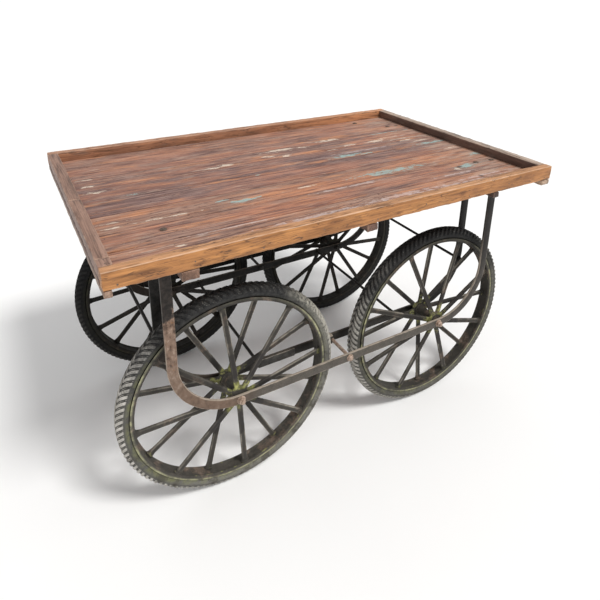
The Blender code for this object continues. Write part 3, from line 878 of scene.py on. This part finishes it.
def tyre_rubber(name, centre, dust_amount, top, light, dryness, spec=0.25):
    """Weathered rubber: near black in the grooves and high up, dusty grey-brown on the lugs and low down."""
    material, tree, shader, coords = new_material(name)
    shifted = stretched(tree, coords, (1.0, 1.0, 1.0), (-centre.x, -centre.y, -centre.z))
    x, y, z = axes(tree, shifted)
    flat = vector(tree, x, 0.0, z)
    radius = length(tree, flat)
    scuffs = noise(tree, coords, 90.0, 6.0, 0.68)
    tone = mixed(tree, fade(tree, scuffs, 0.38, 0.66), (0.011, 0.011, 0.012), (light, light, light))
    dust = use_group(tree, DUST, {"Vector": coords, "Top": top, "Spread": 0.16, "Amount": dust_amount})
    section = vector(
        tree, maths(tree, "DIVIDE", minus(tree, radius, TREAD_MIDDLE), TREAD_HALF_DEEP),
        maths(tree, "DIVIDE", y, TREAD_HALF_WIDE),
    )
    stands_out = length(tree, section)
    on_lug = times(tree, fade(tree, stands_out, 1.030, 1.075), fade(tree, radius, 0.346, 0.351))
    side = times(tree, fade(tree, radius, 0.352, 0.345), fade(tree, x, -0.34, -0.05, 0.20, 0.46))
    share = larger(tree, times_plus(tree, on_lug, 0.9, 0.22), side)
    share = times(tree, share, fade(tree, z, 0.32, 0.12, 0.16, 1.0))
    tone = mixed(tree, times(tree, dust["Mask"], share, clamp=True), tone, (0.36, 0.345, 0.305))
    bare = noise(tree, coords, 24.0, 4.0, 0.66)
    dry_side = times(tree, fade(tree, x, -0.16, -0.30), fade(tree, bare, 0.40, 0.58, 0.22, 0.92))
    dry_side = times(tree, times(tree, dry_side, dust["Mask"]), on_lug, clamp=True)
    tone = coat(tree, tone, dry_side, dryness, (0.60, 0.57, 0.53))
    from_patch = put(
        tree, "ShaderNodeVectorMath", {0: flat, 1: (0.285, 0.0, 0.190)}, operation="DISTANCE"
    ).outputs["Value"]
    dry_patch = times(tree, fade(tree, from_patch, 0.17, 0.07), fade(tree, scuffs, 0.40, 0.58, 0.10, 0.80))
    dry_patch = times(tree, dry_patch, fade(tree, radius, 0.340, 0.352, 0.25, 1.0))
    tone = coat(tree, tone, dry_patch, dryness ** 3, (0.46, 0.44, 0.37))
    growth = noise(tree, coords, 42.0, 5.0, 0.66)
    bead = times(tree, fade(tree, radius, 0.346, 0.335), fade(tree, growth, 0.40, 0.58))
    bead = times(tree, bead, fade(tree, z, 0.26, 0.10, 0.06, 0.60))
    bead = times(tree, bead, fade(tree, x, 0.05, -0.20, 0.40, 1.0))
    tone = coat(tree, tone, bead, min(1.0, dust_amount), (0.190, 0.195, 0.085))
    grime = noise(tree, coords, 26.0, 6.0, 0.72)
    grime = times(tree, fade(tree, grime, 0.50, 0.60, 0.0, 0.78), fade(tree, z, 0.12, -0.10))
    tone = coat(tree, tone, grime, dryness, (0.062, 0.056, 0.045))
    pale = times(tree, dust["Specks"], times(tree, dust["Mask"], on_lug))
    tone = mixed(tree, pale, tone, (0.60, 0.58, 0.53))
    wire(tree, shader, tone, fade(tree, scuffs, 0.3, 0.7, 0.66, 0.88), scuffs, 0.45, 0.0010)
    shader.inputs["Specular IOR Level"].default_value = spec
    return material


def rusty_steel(name, bright):
    """Nuts, bolts and rods: rust with rubbed steel and orange bloom."""
    material, tree, shader, coords = new_material(name)
    worn = use_group(tree, RUST, {"Vector": coords, "Amount": 0.62, "Scale": 60.0})
    rubbed = noise(tree, coords, 130.0, 4.0, 0.6)
    tone = mixed(
        tree, fade(tree, rubbed, 0.40, 0.62), (0.45 * bright, 0.33 * bright, 0.25 * bright),
        (bright, bright * 0.79, bright * 0.65),
    )
    tone = coat(tree, tone, worn["Mask"], 0.35, worn["Colour"])
    wire(tree, shader, tone, fade(tree, rubbed, 0.3, 0.7, 0.7, 0.42), worn["Height"], 0.4, 0.0006)
    shader.inputs["Metallic"].default_value = 0.35
    return material


def finish_with(obj, material):
    obj.data.materials.clear()
    obj.data.materials.append(material)
    return obj


# Camera, light and floor


def make_camera():
    """The photograph's view: its place, its turn and its lens, with the frame shifted down."""
    azimuth, elevation, roll = (math.radians(degrees) for degrees in CAMERA_DEGREES)
    flat = math.cos(elevation)
    back = Vector((math.sin(azimuth) * flat, -math.cos(azimuth) * flat, math.sin(elevation)))
    level = Vector((0, 0, 1)).cross(back).normalized()
    upright = back.cross(level)
    right = math.cos(roll) * level + math.sin(roll) * upright
    up = -math.sin(roll) * level + math.cos(roll) * upright
    data = bpy.data.cameras.new("photo_view")
    data.sensor_width = 36.0
    data.lens = FOCAL_PIXELS * data.sensor_width / PHOTO_SIDE
    data.shift_y = (CENTRE_ROW - PHOTO_SIDE / 2) / PHOTO_SIDE
    data.clip_end = 60.0
    camera = bpy.data.objects.new("photo_view", data)
    bpy.context.scene.collection.objects.link(camera)
    turn = Matrix((right, up, back)).transposed().to_4x4()
    camera.matrix_world = Matrix.Translation(CAMERA_PLACE) @ turn
    bpy.context.scene.camera = camera


def add_soft_sun(name, toward, strength, angle, tint=(1.0, 1.0, 1.0)):
    data = bpy.data.lights.new(name, "SUN")
    data.energy = strength
    data.angle = math.radians(angle)
    data.color = tint
    lamp = bpy.data.objects.new(name, data)
    lamp.location = Vector(toward) * 4.0
    lamp.rotation_euler = Vector(toward).to_track_quat("Z", "Y").to_euler()
    bpy.context.scene.collection.objects.link(lamp)


def make_studio():
    clear_selection()
    bpy.ops.mesh.primitive_plane_add(size=160.0, location=(0, 0, 0))
    floor = settle(named("studio_floor"))
    material, tree, shader, coords = new_material("studio_floor")
    cloudy = noise(tree, coords, 0.8, 2.0)
    tone = mixed(tree, fade(tree, cloudy, 0.3, 0.7), (0.94, 0.94, 0.94), (0.96, 0.96, 0.96))
    wire(tree, shader, tone, 0.85)
    floor.data.materials.append(material)
    world = bpy.data.worlds.new("studio")
    world.use_nodes = True
    world.node_tree.nodes["Background"].inputs["Color"].default_value = (1.0, 1.0, 1.0, 1.0)
    world.node_tree.nodes["Background"].inputs["Strength"].default_value = 0.60
    bpy.context.scene.world = world
    bpy.context.scene.view_settings.view_transform = "Standard"
    add_soft_sun("key", (0.26, -0.52, 0.83), 2.15, 15.0, (1.0, 0.99, 0.97))


# Tray


PLANK_TONES = (
    ((0.560, 0.275, 0.170), (0.440, 0.270, 0.205), 0.80),
    ((0.530, 0.245, 0.155), (0.380, 0.230, 0.180), 0.60),
    ((0.560, 0.260, 0.155), (0.400, 0.235, 0.175), 0.55),
    ((0.460, 0.225, 0.155), (0.280, 0.180, 0.160), 0.50),
    ((0.430, 0.215, 0.150), (0.260, 0.172, 0.158), 0.50),
    ((0.510, 0.245, 0.165), (0.320, 0.200, 0.165), 0.60),
    ((0.490, 0.245, 0.170), (0.350, 0.215, 0.175), 0.62),
    ((0.500, 0.255, 0.175), (0.390, 0.245, 0.195), 0.58),
)


def scraps_on(box, scraps):
    low, high = box
    return [scrap for scrap in scraps if low.y < scrap[1] < high.y]


def make_deck():
    for number, (warm, cool, pale) in enumerate(PLANK_TONES, start=1):
        node = f"deck_plank_{number}"
        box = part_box(node)
        plank = make_board(
            f"plank_{number}", node, warp=0.0012, chip=0.0022, rounding=0.0014, spacing=0.020
        )
        material = deck_wood(
            f"deck_wood_{number}",
            box,
            number * 1.73,
            warm,
            cool,
            pale,
            scraps_on(box, CREAM_SCRAPS),
            scraps_on(box, BLUE_SCRAPS),
            scraps_on(box, HAZE_SCRAPS),
        )
        finish_with(plank, material)


def make_joint_dirt():
    """Packed dirt in the joints between the planks, sunk from both faces, so that no light comes through."""
    strips = []
    for number in range(1, len(PLANK_TONES)):
        low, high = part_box(f"deck_plank_{number}")
        next_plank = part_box(f"deck_plank_{number + 1}")
        start = (low.x + 0.005, high.y - 0.0025, low.z + 0.0045)
        end = (high.x - 0.005, next_plank[0].y + 0.0025, high.z - 0.0060)
        strip = add_block("joint_dirt", start, end)
        cut_along(strip, 0, 70)
        strips.append(strip)
    dirt = join(strips, "joint_dirt")
    round_edges(dirt, 0.0010, 1)
    finish_modifier(
        dirt, "DISPLACE", texture=CHIP_CLOUDS, texture_coords="GLOBAL", strength=0.0020, mid_level=0.5
    )
    smooth(dirt, 40)
    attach(dirt, "cart_frame")
    material, tree, shader, coords = new_material("joint_dirt")
    lumps = noise(tree, coords, 180.0, 4.0, 0.6)
    tone = mixed(tree, fade(tree, lumps, 0.36, 0.64), (0.028, 0.019, 0.015), (0.075, 0.052, 0.040))
    wire(tree, shader, tone, 0.90, lumps, 0.5, 0.0010)
    finish_with(dirt, material)


def make_rails():
    honey, amber = (0.600, 0.270, 0.088), (0.380, 0.160, 0.056)
    brown, umber = (0.460, 0.215, 0.115), (0.310, 0.140, 0.078)
    top_brown, top_gold = (0.640, 0.355, 0.230), (0.720, 0.385, 0.200)
    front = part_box("rail_front")
    face = front[0].y
    knots = [
        ((-0.148, face, 0.948), (0.030, 0.03, 0.007)),
        ((0.345, face, 0.940), (0.020, 0.03, 0.010)),
        ((-0.690, face, 0.934), (0.035, 0.03, 0.009)),
        ((-0.555, face, 0.922), (0.024, 0.03, 0.006)),
        ((0.080, face, 0.926), (0.018, 0.03, 0.006)),
        ((0.610, face, 0.944), (0.030, 0.03, 0.006)),
    ]
    front_wood = rail_wood(
        "rail_wood_front", front, 2.1, honey, amber, False, knots, 0.90, 0.16, top_gold, True
    )
    # The rear rail lightens to this gold towards +X: painted sunlight.
    gold = (0.720, 0.330, 0.150)
    rear_wood = rail_wood(
        "rail_wood_rear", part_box("rail_rear"), 5.4, brown, umber, False, (), 0.9, 0.3, top_brown, sunny=gold
    )
    rails = (
        ("front_rail", "rail_front", 0, front_wood),
        ("rear_rail", "rail_rear", 0, rear_wood),
        ("left_rail_front", "rail_left_front", 1, None),
        ("left_rail_middle", "rail_left_middle", 1, None),
        ("left_rail_rear", "rail_left_rear", 1, None),
        ("right_rail", "rail_right", 1, None),
    )
    for number, (name, node, along, material) in enumerate(rails):
        rail = make_board(name, node, along=along, warp=0.0016, chip=0.0050, rounding=0.0026, spacing=0.012)
        if material is None:
            right = node == "rail_right"
            warm = (0.210, 0.120, 0.088) if right else (0.350, 0.195, 0.138)
            deep = (0.100, 0.058, 0.045) if right else (0.240, 0.135, 0.097)
            top_tone = (0.640, 0.500, 0.400) if right else (0.370, 0.222, 0.165)
            grey, veins = (0.35, 0.85) if right else (0.12, 0.25)
            material = rail_wood(
                f"rail_wood_{name}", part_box(node), 3.3 * number, warm, deep, True,
                wear=0.85, grey=grey, top_tone=top_tone, veins=veins,
            )
        finish_with(rail, material)


# Wood tone of each bearer, with painted light: bearer 4 darkened as painted shade, bearer 5 paled as painted
# sunlight on its end.
BEARER_TONES = (
    (0.44, 0.290, 0.210),
    (0.29, 0.160, 0.105),
    (0.24, 0.130, 0.092),
    (0.085, 0.045, 0.032),
    (0.60, 0.420, 0.300),
)


def make_bearers():
    for number in range(1, 6):
        node = f"bearer_{number}"
        bearer = make_board(
            f"cross_bearer_{number}", node, along=1, warp=0.0015, chip=0.0060, rounding=0.0030
        )
        warm = BEARER_TONES[number - 1]
        deep = tuple(0.60 * part for part in warm)
        material = rail_wood(
            f"bearer_wood_{number}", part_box(node), 7.7 * number, warm, deep, True, (), 0.6, 0.15
        )
        finish_with(bearer, material)


# Steel bars


def make_bar(name, node, centre_y, inward, material):
    """A flat bar swept down one leg, round both bends and up the other, with a turned foot on each leg."""
    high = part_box(node)[1]
    half = BAR_DEPTH / 2
    bar = add_section(name, (LEFT_LEG_X, centre_y, high.z), BAR_DEPTH, BAR_THICKNESS)
    bend_z = HUB_HEIGHT + BEND_RADIUS
    edit_all(bar)
    leg = high.z - bend_z
    for _ in range(12):
        bpy.ops.mesh.extrude_region_move(TRANSFORM_OT_translate={"value": (0, 0, -leg / 12)})
    centre = (LEFT_LEG_X + BEND_RADIUS, centre_y, bend_z)
    bpy.ops.mesh.spin(steps=BEND_STEPS, angle=math.pi / 2, center=centre, axis=(0, 1, 0))
    run = (RIGHT_LEG_X - BEND_RADIUS) - (LEFT_LEG_X + BEND_RADIUS)
    for _ in range(28):
        bpy.ops.mesh.extrude_region_move(TRANSFORM_OT_translate={"value": (run / 28, 0, 0)})
    centre = (RIGHT_LEG_X - BEND_RADIUS, centre_y, bend_z)
    bpy.ops.mesh.spin(steps=BEND_STEPS, angle=math.pi / 2, center=centre, axis=(0, 1, 0))
    for _ in range(12):
        bpy.ops.mesh.extrude_region_move(TRANSFORM_OT_translate={"value": (0, 0, leg / 12)})
    object_mode()
    mend_surface(bar)
    pieces = [bar]
    for x in (LEFT_LEG_X, RIGHT_LEG_X):
        edges = sorted((centre_y - inward * BAR_THICKNESS / 2, centre_y + inward * FOOT_LENGTH))
        foot = add_block(
            f"{name}_foot", (x - half, edges[0], high.z - BAR_THICKNESS), (x + half, edges[1], high.z)
        )
        cut_along(foot, 1, 6)
        pieces.append(foot)
    bar = join(pieces, name)
    round_edges(bar, 0.0014, 2)
    finish_modifier(
        bar, "DISPLACE", texture=SCALE_CLOUDS, texture_coords="GLOBAL", strength=0.0007, mid_level=0.5
    )
    smooth(bar, 38)
    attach(bar, "cart_frame")
    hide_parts(node)
    return finish_with(bar, material)


def make_bars():
    front_outer = black_iron(
        "bar_iron_front", 0.74, 0.830, 0.690, 0.72, (0.0130, 0.0100, 0.0085), 0.75, 0.22
    )
    inner = black_iron("bar_iron_inner", 0.30, 0.60, 0.42, 0.16, (0.007, 0.0065, 0.006), 0.12, 0.2)
    # The rear bars take a darker, less rusty copy of the iron: painted shade at the back of the cart.
    rear = black_iron("bar_iron_rear", 0.14, 0.56, 0.30, 0.05, (0.005, 0.0048, 0.0048), 0.2, 0.12)
    for end, side in (("front", -1), ("rear", 1)):
        for place in ("outer", "inner"):
            node = f"bar_{end}_{place}"
            centre_y = side * BAR_Y[place]
            material = rear if end == "rear" else front_outer if place == "outer" else inner
            make_bar(f"tub_{end}_{place}", node, centre_y, -side, material)


def hex_nut(name, place, side, radius, height):
    """A chamfered nut on a rod along Y, standing out to one side from place."""
    end = Vector(place) + Vector((0, side * height, 0))
    nut = add_round(name, radius, place, end, 6)
    raise_end(nut, end.y, radius * 0.16, side * height * 0.14)
    round_edges(nut, 0.0005, 1)
    return nut


def washer(name, place, side, radius, height):
    ring = add_round(name, radius, place, Vector(place) + Vector((0, side * height, 0)), 28)
    round_edges(ring, height * 0.3, 2)
    return ring


def make_rod(name, node, radius, nut_radius, nut_height, tip, material):
    """A threaded rod through two bars: its shank, a washer and a nut at each end, and the thread's tip."""
    low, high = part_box(node)
    x, z = (low.x + high.x) / 2, (low.z + high.z) / 2
    inner_low, inner_high = low.y + nut_height, high.y - nut_height
    shank = add_round(f"{name}_shank", radius, (x, low.y - tip[0], z), (x, high.y + tip[1], z), 20)
    cut_along(shank, 1, 14)
    round_edges(shank, radius * 0.22, 2, 60)
    pieces = [shank]
    for place_y, side in ((inner_low, -1), (inner_high, 1)):
        pieces.append(washer(f"{name}_washer", (x, place_y, z), side, nut_radius * 1.22, 0.0018))
        pieces.append(
            hex_nut(f"{name}_nut", (x, place_y + side * 0.0018, z), side, nut_radius, nut_height - 0.0018)
        )
    rod = join(pieces, name)
    smooth(rod, 35)
    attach(rod, "cart_frame")
    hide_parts(node)
    return finish_with(rod, material)


def make_rods():
    bolt = rusty_steel("bolt_steel", 0.72)
    dark = black_iron("tie_iron", 0.26, 0.60, 0.30, 0.10, (0.007, 0.0065, 0.006), 0.0, 0.15)
    # The rear axle bolts and rear spacer rod take the near-black tie iron, the front ones the rusty bolt
    # steel: painted shade at the back.
    for wheel in FIRST_SPOKE:
        front = "front" in wheel
        tip = (0.007, 0.0) if front else (0.0, 0.007)
        steel = bolt if front else dark
        make_rod(f"axle_bolt_{wheel}", f"axle_{wheel}", 0.0065, 0.0115, 0.011, tip, steel)
    for end in ("front", "rear"):
        tip = (0.004, 0.0) if end == "front" else (0.0, 0.004)
        steel = bolt if end == "front" else dark
        make_rod(f"spacer_rod_{end}", f"bar_rod_{end}", 0.006, 0.0105, 0.008, tip, steel)
    for place in ("hub_left", "hub_right", "leg_left", "leg_right"):
        make_rod(
            f"cross_tie_{place}", f"tie_{place}", 0.0055, 0.0100, 0.007, (0.002, 0.002), dark
        )


# Wheels


def wall_half_width(rise):
    """Half the tyre's width at a height of rise: an ellipse above its middle, and fuller below it."""
    power = 2.0 if rise > 0 else 4.0
    return TREAD_HALF_WIDE * (1.0 - abs(rise) ** power) ** (1.0 / power) * (1.0 + 0.16 * min(0.0, rise))


def make_carcass():
    """The tyre's body: its section spun round the axle, with two raised lines on each wall."""
    clear_selection()
    bpy.ops.mesh.primitive_circle_add(vertices=32, radius=1.0, location=(0, 0, 0))
    tyre = named("tyre_model")
    for vertex in tyre.data.vertices:
        rise, side = vertex.co.x, vertex.co.y
        if rise < 0:
            rise = -math.sqrt(abs(rise))
        half = 0.0 if abs(rise) > 0.9999 else wall_half_width(rise)
        vertex.co.x = TREAD_MIDDLE + rise * TREAD_HALF_DEEP
        vertex.co.y = math.copysign(half, side)
    spin_wheel(tyre)
    pieces = [tyre]
    for line_radius in (0.3345, 0.3480):
        wall = wall_half_width((line_radius - TREAD_MIDDLE) / TREAD_HALF_DEEP) - 0.0002
        for side in (-1, 1):
            clear_selection()
            bpy.ops.mesh.primitive_torus_add(
                major_segments=128,
                minor_segments=6,
                major_radius=line_radius,
                minor_radius=0.0011,
                location=(0, side * wall, 0),
                rotation=(math.pi / 2, 0, 0),
            )
            pieces.append(settle(named("wall_line")))
    return join(pieces, "tyre_model")


def make_lug(side):
    """One curved, slanted tread lug and the thin rib behind it, from the tread's middle over the shoulder."""
    half = TYRE_WIDTH / 2
    pieces = []
    for back, front, rise in ((-0.0074, 0.0036, 0.0), (0.0074, 0.0102, 0.0014)):
        low = Vector((TYRE_RADIUS - 0.0070, 0.0010, back))
        high = Vector((TYRE_RADIUS - 0.0010 - rise, half - 0.0010, front))
        lug = add_block("lug_model", low, high)
        cut_along(lug, 1, 5)
        for vertex in lug.data.vertices:
            out = max(0.0, (vertex.co.y - 0.008) / (half - 0.008))
            slant = 1.38 * vertex.co.y - 8.0 * vertex.co.y ** 2
            vertex.co.x -= 0.0165 * out ** 2.1 + slant ** 2 / (2 * TYRE_RADIUS)
            vertex.co.z -= slant
            vertex.co.y *= side
        mend_surface(lug)
        pieces.append(lug)
    lug = join(pieces, "lug_model")
    round_edges(lug, 0.0008, 1)
    clear_selection()
    bpy.ops.object.empty_add(location=(0, 0, 0), rotation=(0, 2 * math.pi / LUGS, 0))
    pivot = bpy.context.object
    bpy.context.view_layer.update()
    finish_modifier(
        lug, "ARRAY", count=LUGS, use_relative_offset=False, use_object_offset=True, offset_object=pivot
    )
    bpy.data.objects.remove(pivot)
    return lug


def make_rim():
    """A flat steel band with a lip rolled along each edge."""
    middle = RIM_RADIUS - RIM_DEPTH / 2
    rim = add_section("rim_model", (middle, 0, 0), RIM_DEPTH, RIM_WIDTH)
    cut_along(rim, 1, 9)
    inner = RIM_RADIUS - RIM_DEPTH
    for vertex in rim.data.vertices:
        share = abs(vertex.co.y) / (RIM_WIDTH / 2)
        if vertex.co.x < middle:
            vertex.co.x = inner + (0.0030 if share < 0.72 else 0.0 if share < 0.95 else 0.0022)
        elif share > 0.9:
            vertex.co.x = RIM_RADIUS + 0.0030
    edit_all(rim)
    bpy.ops.mesh.delete(type="ONLY_FACE")
    half = RIM_WIDTH / 2

    def crosses(a, b):
        return abs(a.x - b.x) > 0.005 and abs(a.y - b.y) < 1e-6 and abs(a.y) < half - 1e-5

    select_edges(rim, crosses)
    bpy.ops.mesh.delete(type="EDGE")
    spin_wheel(rim)
    round_edges(rim, 0.0012, 2, 50)
    smooth(rim, 35)
    return rim


def make_hub():
    """The hub barrel with its two flanges, end collars and a worn middle."""
    barrel = add_round("hub_model", HUB_RADIUS, (0, -HUB_HALF_LENGTH, 0), (0, HUB_HALF_LENGTH, 0), 32)
    cut_along(barrel, 1, 10)
    for vertex in barrel.data.vertices:
        waist = 1.0 - 0.16 * max(0.0, 1.0 - (abs(vertex.co.y) / 0.030) ** 2)
        vertex.co.x *= waist
        vertex.co.z *= waist
    pieces = [barrel]
    for side in (-1, 1):
        start, end = side * (FLANGE_Y - 0.004), side * (FLANGE_Y + 0.004)
        flange = add_round("flange_model", FLANGE_RADIUS, (0, start, 0), (0, end, 0), 32)
        raise_end(flange, end, 0.007, side * 0.0018)
        pieces.append(flange)
        collar = add_round("collar_model", 0.0255, (0, side * 0.034, 0), (0, side * 0.0395, 0), 32)
        pieces.append(collar)
    hub = join(pieces, "hub_model")
    round_edges(hub, 0.0012, 2)
    return hub


def make_spoke(side):
    """A flat spoke from a flange to the rim: rounded edges, a flared foot and lumpy welds at both ends."""
    start = (HUB_RADIUS + FLANGE_RADIUS) / 2 - 0.004
    tip = RIM_RADIUS - RIM_DEPTH + 0.0032
    length = tip - start
    spoke = add_block(
        "spoke_model", (0, -SPOKE_THICKNESS / 2, -SPOKE_WIDTH / 2),
        (length, SPOKE_THICKNESS / 2, SPOKE_WIDTH / 2),
    )
    cut_along(spoke, 0, 17)
    for vertex in spoke.data.vertices:
        from_tip = length - vertex.co.x
        if from_tip < 0.018:
            vertex.co.z *= 1.0 + 0.50 * (1.0 - from_tip / 0.018) ** 1.5
        if vertex.co.x < 0.020:
            vertex.co.z *= 1.0 + 0.22 * (1.0 - vertex.co.x / 0.020)
    round_edges(spoke, 0.0021, 3)
    pieces = [spoke]
    for place, size in (
        ((length - 0.0022, 0, 0.0095), (0.0040, 0.0062, 0.0052)),
        ((length - 0.0022, 0, -0.0095), (0.0040, 0.0062, 0.0052)),
        ((length - 0.0018, 0.0046, 0), (0.0036, 0.0034, 0.0100)),
        ((length - 0.0018, -0.0046, 0), (0.0036, 0.0034, 0.0100)),
        ((0.0085, 0, 0), (0.0080, 0.0062, 0.0108)),
    ):
        clear_selection()
        bpy.ops.mesh.primitive_uv_sphere_add(segments=12, ring_count=8, radius=1.0, location=place)
        bead = named("weld_model")
        bead.scale = size
        pieces.append(settle(bead))
    spoke = join(pieces, "spoke_model")
    fall = math.atan2(SPOKE_RIM_SPREAD - FLANGE_Y, length)
    spoke.rotation_euler = (0, 0, side * fall)
    spoke.location = (start, side * FLANGE_Y, 0)
    settle(spoke)
    finish_modifier(
        spoke, "DISPLACE", texture=SCALE_CLOUDS, texture_coords="GLOBAL", strength=0.0010, mid_level=0.5
    )
    return spoke


def make_wheels():
    """One wheel of each form is modelled at the origin, and copied to the four axles."""
    carcass = make_carcass()
    tyre_model = join([carcass, make_lug(1), make_lug(-1)], "tyre_model")
    smooth(tyre_model, 40)
    rim_model = make_rim()
    hub_model = make_hub()
    spokes = {1: make_spoke(1), -1: make_spoke(-1)}
    looks = {
        "front_left": (0.95, 0.54, 0.060, 1.05, 0.60, 0.26, 0.044, 0.95),
        "front_right": (0.76, 0.40, 0.044, 0.66, 0.56, 0.18, 0.020, 0.50),
        # The rear wheels get darker, near-black copies of the iron and rubber with almost no dust or moss:
        # painted shade at the back.
        "rear_left": (0.03, 0.06, 0.016, 0.08, 0.40, 0.12, 0.016, 0.0),
        "rear_right": (0.03, 0.05, 0.014, 0.06, 0.40, 0.12, 0.016, 0.0),
    }
    for wheel, first in FIRST_SPOKE.items():
        centre = WHEEL_CENTRES[f"wheel_{wheel}"]
        body = f"wheel_{wheel}"
        moss, iron_dust, light, tyre_dust, dust_top, spec, rubber_light, dryness = looks[wheel]
        iron = wheel_iron(f"wheel_iron_{wheel}", centre, first, moss, iron_dust, light, spec)
        rubber = tyre_rubber(
            f"tyre_rubber_{wheel}", centre, tyre_dust, dust_top, rubber_light, dryness, spec
        )
        turn = -math.radians(first)
        tread_turn = math.pi if "right" in wheel else 0.0
        tyre = copy_of(tyre_model, (0, turn, tread_turn), centre)
        rim = copy_of(rim_model, (0, turn, 0), centre)
        pieces = [copy_of(hub_model, (0, turn, 0), centre)]
        for number in range(SPOKES):
            side = -1 if number % 2 else 1
            angle = turn - number * 2 * math.pi / SPOKES
            pieces.append(copy_of(spokes[side], (0, angle, 0), centre))
        web = join(pieces, f"hub_and_spokes_{wheel}")
        smooth(web, 40)
        tyre.name = tyre.data.name = f"tyre_body_{wheel}"
        rim.name = rim.data.name = f"rim_band_{wheel}"
        for piece, node, material, slot in (
            (tyre, f"tyre_{wheel}", rubber, "tyre_rubber"),
            (rim, f"rim_{wheel}", iron, "wheel_iron"),
            (web, f"wheel_spokes_{wheel}", iron, "wheel_iron"),
        ):
            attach(piece, body)
            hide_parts(node)
            finish_with(piece, material)
    for model in (tyre_model, rim_model, hub_model, spokes[1], spokes[-1]):
        bpy.data.objects.remove(model)


# Small fastenings


def make_bolt_head(name, place, radius, height):
    """A domed coach bolt head on its washer."""
    clear_selection()
    bpy.ops.mesh.primitive_uv_sphere_add(segments=20, ring_count=12, radius=1.0, location=(0, 0, 0))
    dome = named(name)
    dome.scale = (radius, radius, height)
    settle(dome)
    edit_all(dome)
    bpy.ops.mesh.bisect(plane_co=(0, 0, 0), plane_no=(0, 0, 1), clear_inner=True, use_fill=True)
    object_mode()
    plate = add_round(f"{name}_washer", radius * 1.35, (0, 0, -0.001), (0, 0, 0.0012), 24)
    round_edges(plate, 0.0004, 1)
    head = join([dome, plate], name)
    head.location = place
    settle(head)
    return head


def make_fastenings():
    bolt = rusty_steel("deck_bolt_steel", 0.07)
    heads = []
    for number, (x, y) in enumerate(DECK_BOLTS):
        heads.append(make_bolt_head(f"deck_bolt_{number}", (x, y, DECK_TOP + 0.0002), 0.0075, 0.0032))
    for x in (LEFT_LEG_X, RIGHT_LEG_X):
        for y in FOOT_BOLT_Y:
            start = Vector((x, y, TRAY_UNDERSIDE - BAR_THICKNESS))
            shank = add_round(
                "foot_bolt_shank", 0.004, start + Vector((0, 0, 0.004)), start - Vector((0, 0, 0.014)), 12
            )
            nut = add_round("foot_bolt_nut", 0.0085, start, start - Vector((0, 0, 0.0065)), 6)
            round_edges(shank, 0.0008, 1)
            round_edges(nut, 0.0008, 1)
            heads += [shank, nut]
    bolts = join(heads, "deck_bolts")
    smooth(bolts, 35)
    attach(bolts, "cart_frame")
    finish_with(bolts, bolt)
    nails = []
    for node in ("bearer_1", "bearer_2", "bearer_3", "bearer_4", "bearer_5"):
        low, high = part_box(node)
        x = (low.x + high.x) / 2
        x = max(-0.735, min(0.735, x))
        for number in range(1, 9):
            plank_low, plank_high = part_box(f"deck_plank_{number}")
            for share in (0.22, 0.78):
                y = plank_low.y + share * (plank_high.y - plank_low.y) + random.uniform(-0.006, 0.006)
                place = Vector((x + random.uniform(-0.005, 0.005), y, DECK_TOP - 0.0022))
                nails.append(add_round("nail", 0.0021, place, place + Vector((0, 0, 0.0024)), 10))
    for node, x in (
        ("rail_left_front", -0.789), ("rail_left_middle", -0.789), ("rail_left_rear", -0.789),
        ("rail_right", 0.789),
    ):
        low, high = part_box(node)
        count = max(2, int((high.y - low.y) / 0.16))
        for number in range(count):
            y = low.y + (number + 0.5) * (high.y - low.y) / count
            place = Vector((x * 0.977, y, high.z - 0.0030))
            nails.append(add_round("nail", 0.0024, place, place + Vector((0, 0, 0.0032)), 10))
    for node, side in (("rail_front", -1), ("rail_rear", 1)):
        low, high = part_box(node)
        face = low.y if side < 0 else high.y
        for number in range(9):
            x = low.x + 0.035 + number * (high.x - low.x - 0.07) / 8
            place = Vector((x, face - side * 0.0030, low.z + 0.012 + 0.010 * (number % 2)))
            nails.append(add_round("nail", 0.0026, place, place + Vector((0, side * 0.0034, 0)), 10))
    heads = join(nails, "nail_heads")
    round_edges(heads, 0.0005, 1)
    smooth(heads, 35)
    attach(heads, "cart_frame")
    finish_with(heads, rusty_steel("nail_steel", 0.16))


def make_bar_details():
    """A lap plate and its clamp on the front inner bar."""
    y = -BAR_Y["inner"]
    plate = add_block(
        "lap_plate", (-0.300, y - 0.0100, HUB_HEIGHT - 0.0150), (-0.160, y - 0.0040, HUB_HEIGHT + 0.0150)
    )
    round_edges(plate, 0.0045, 3, 80)
    clamp = add_block(
        "bar_clamp", (-0.030, y - 0.016, HUB_HEIGHT - 0.019), (-0.006, y + 0.006, HUB_HEIGHT + 0.019)
    )
    round_edges(clamp, 0.0035, 3)
    details = join([plate, clamp], "lap_and_clamp")
    smooth(details)
    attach(details, "cart_frame")
    finish_with(details, black_iron("lap_iron", 0.35, 0.50, 0.30, 0.14))


make_camera()
make_studio()
make_deck()
make_joint_dirt()
make_rails()
make_bearers()
make_bars()
make_rods()
make_wheels()
make_fastenings()
make_bar_details()
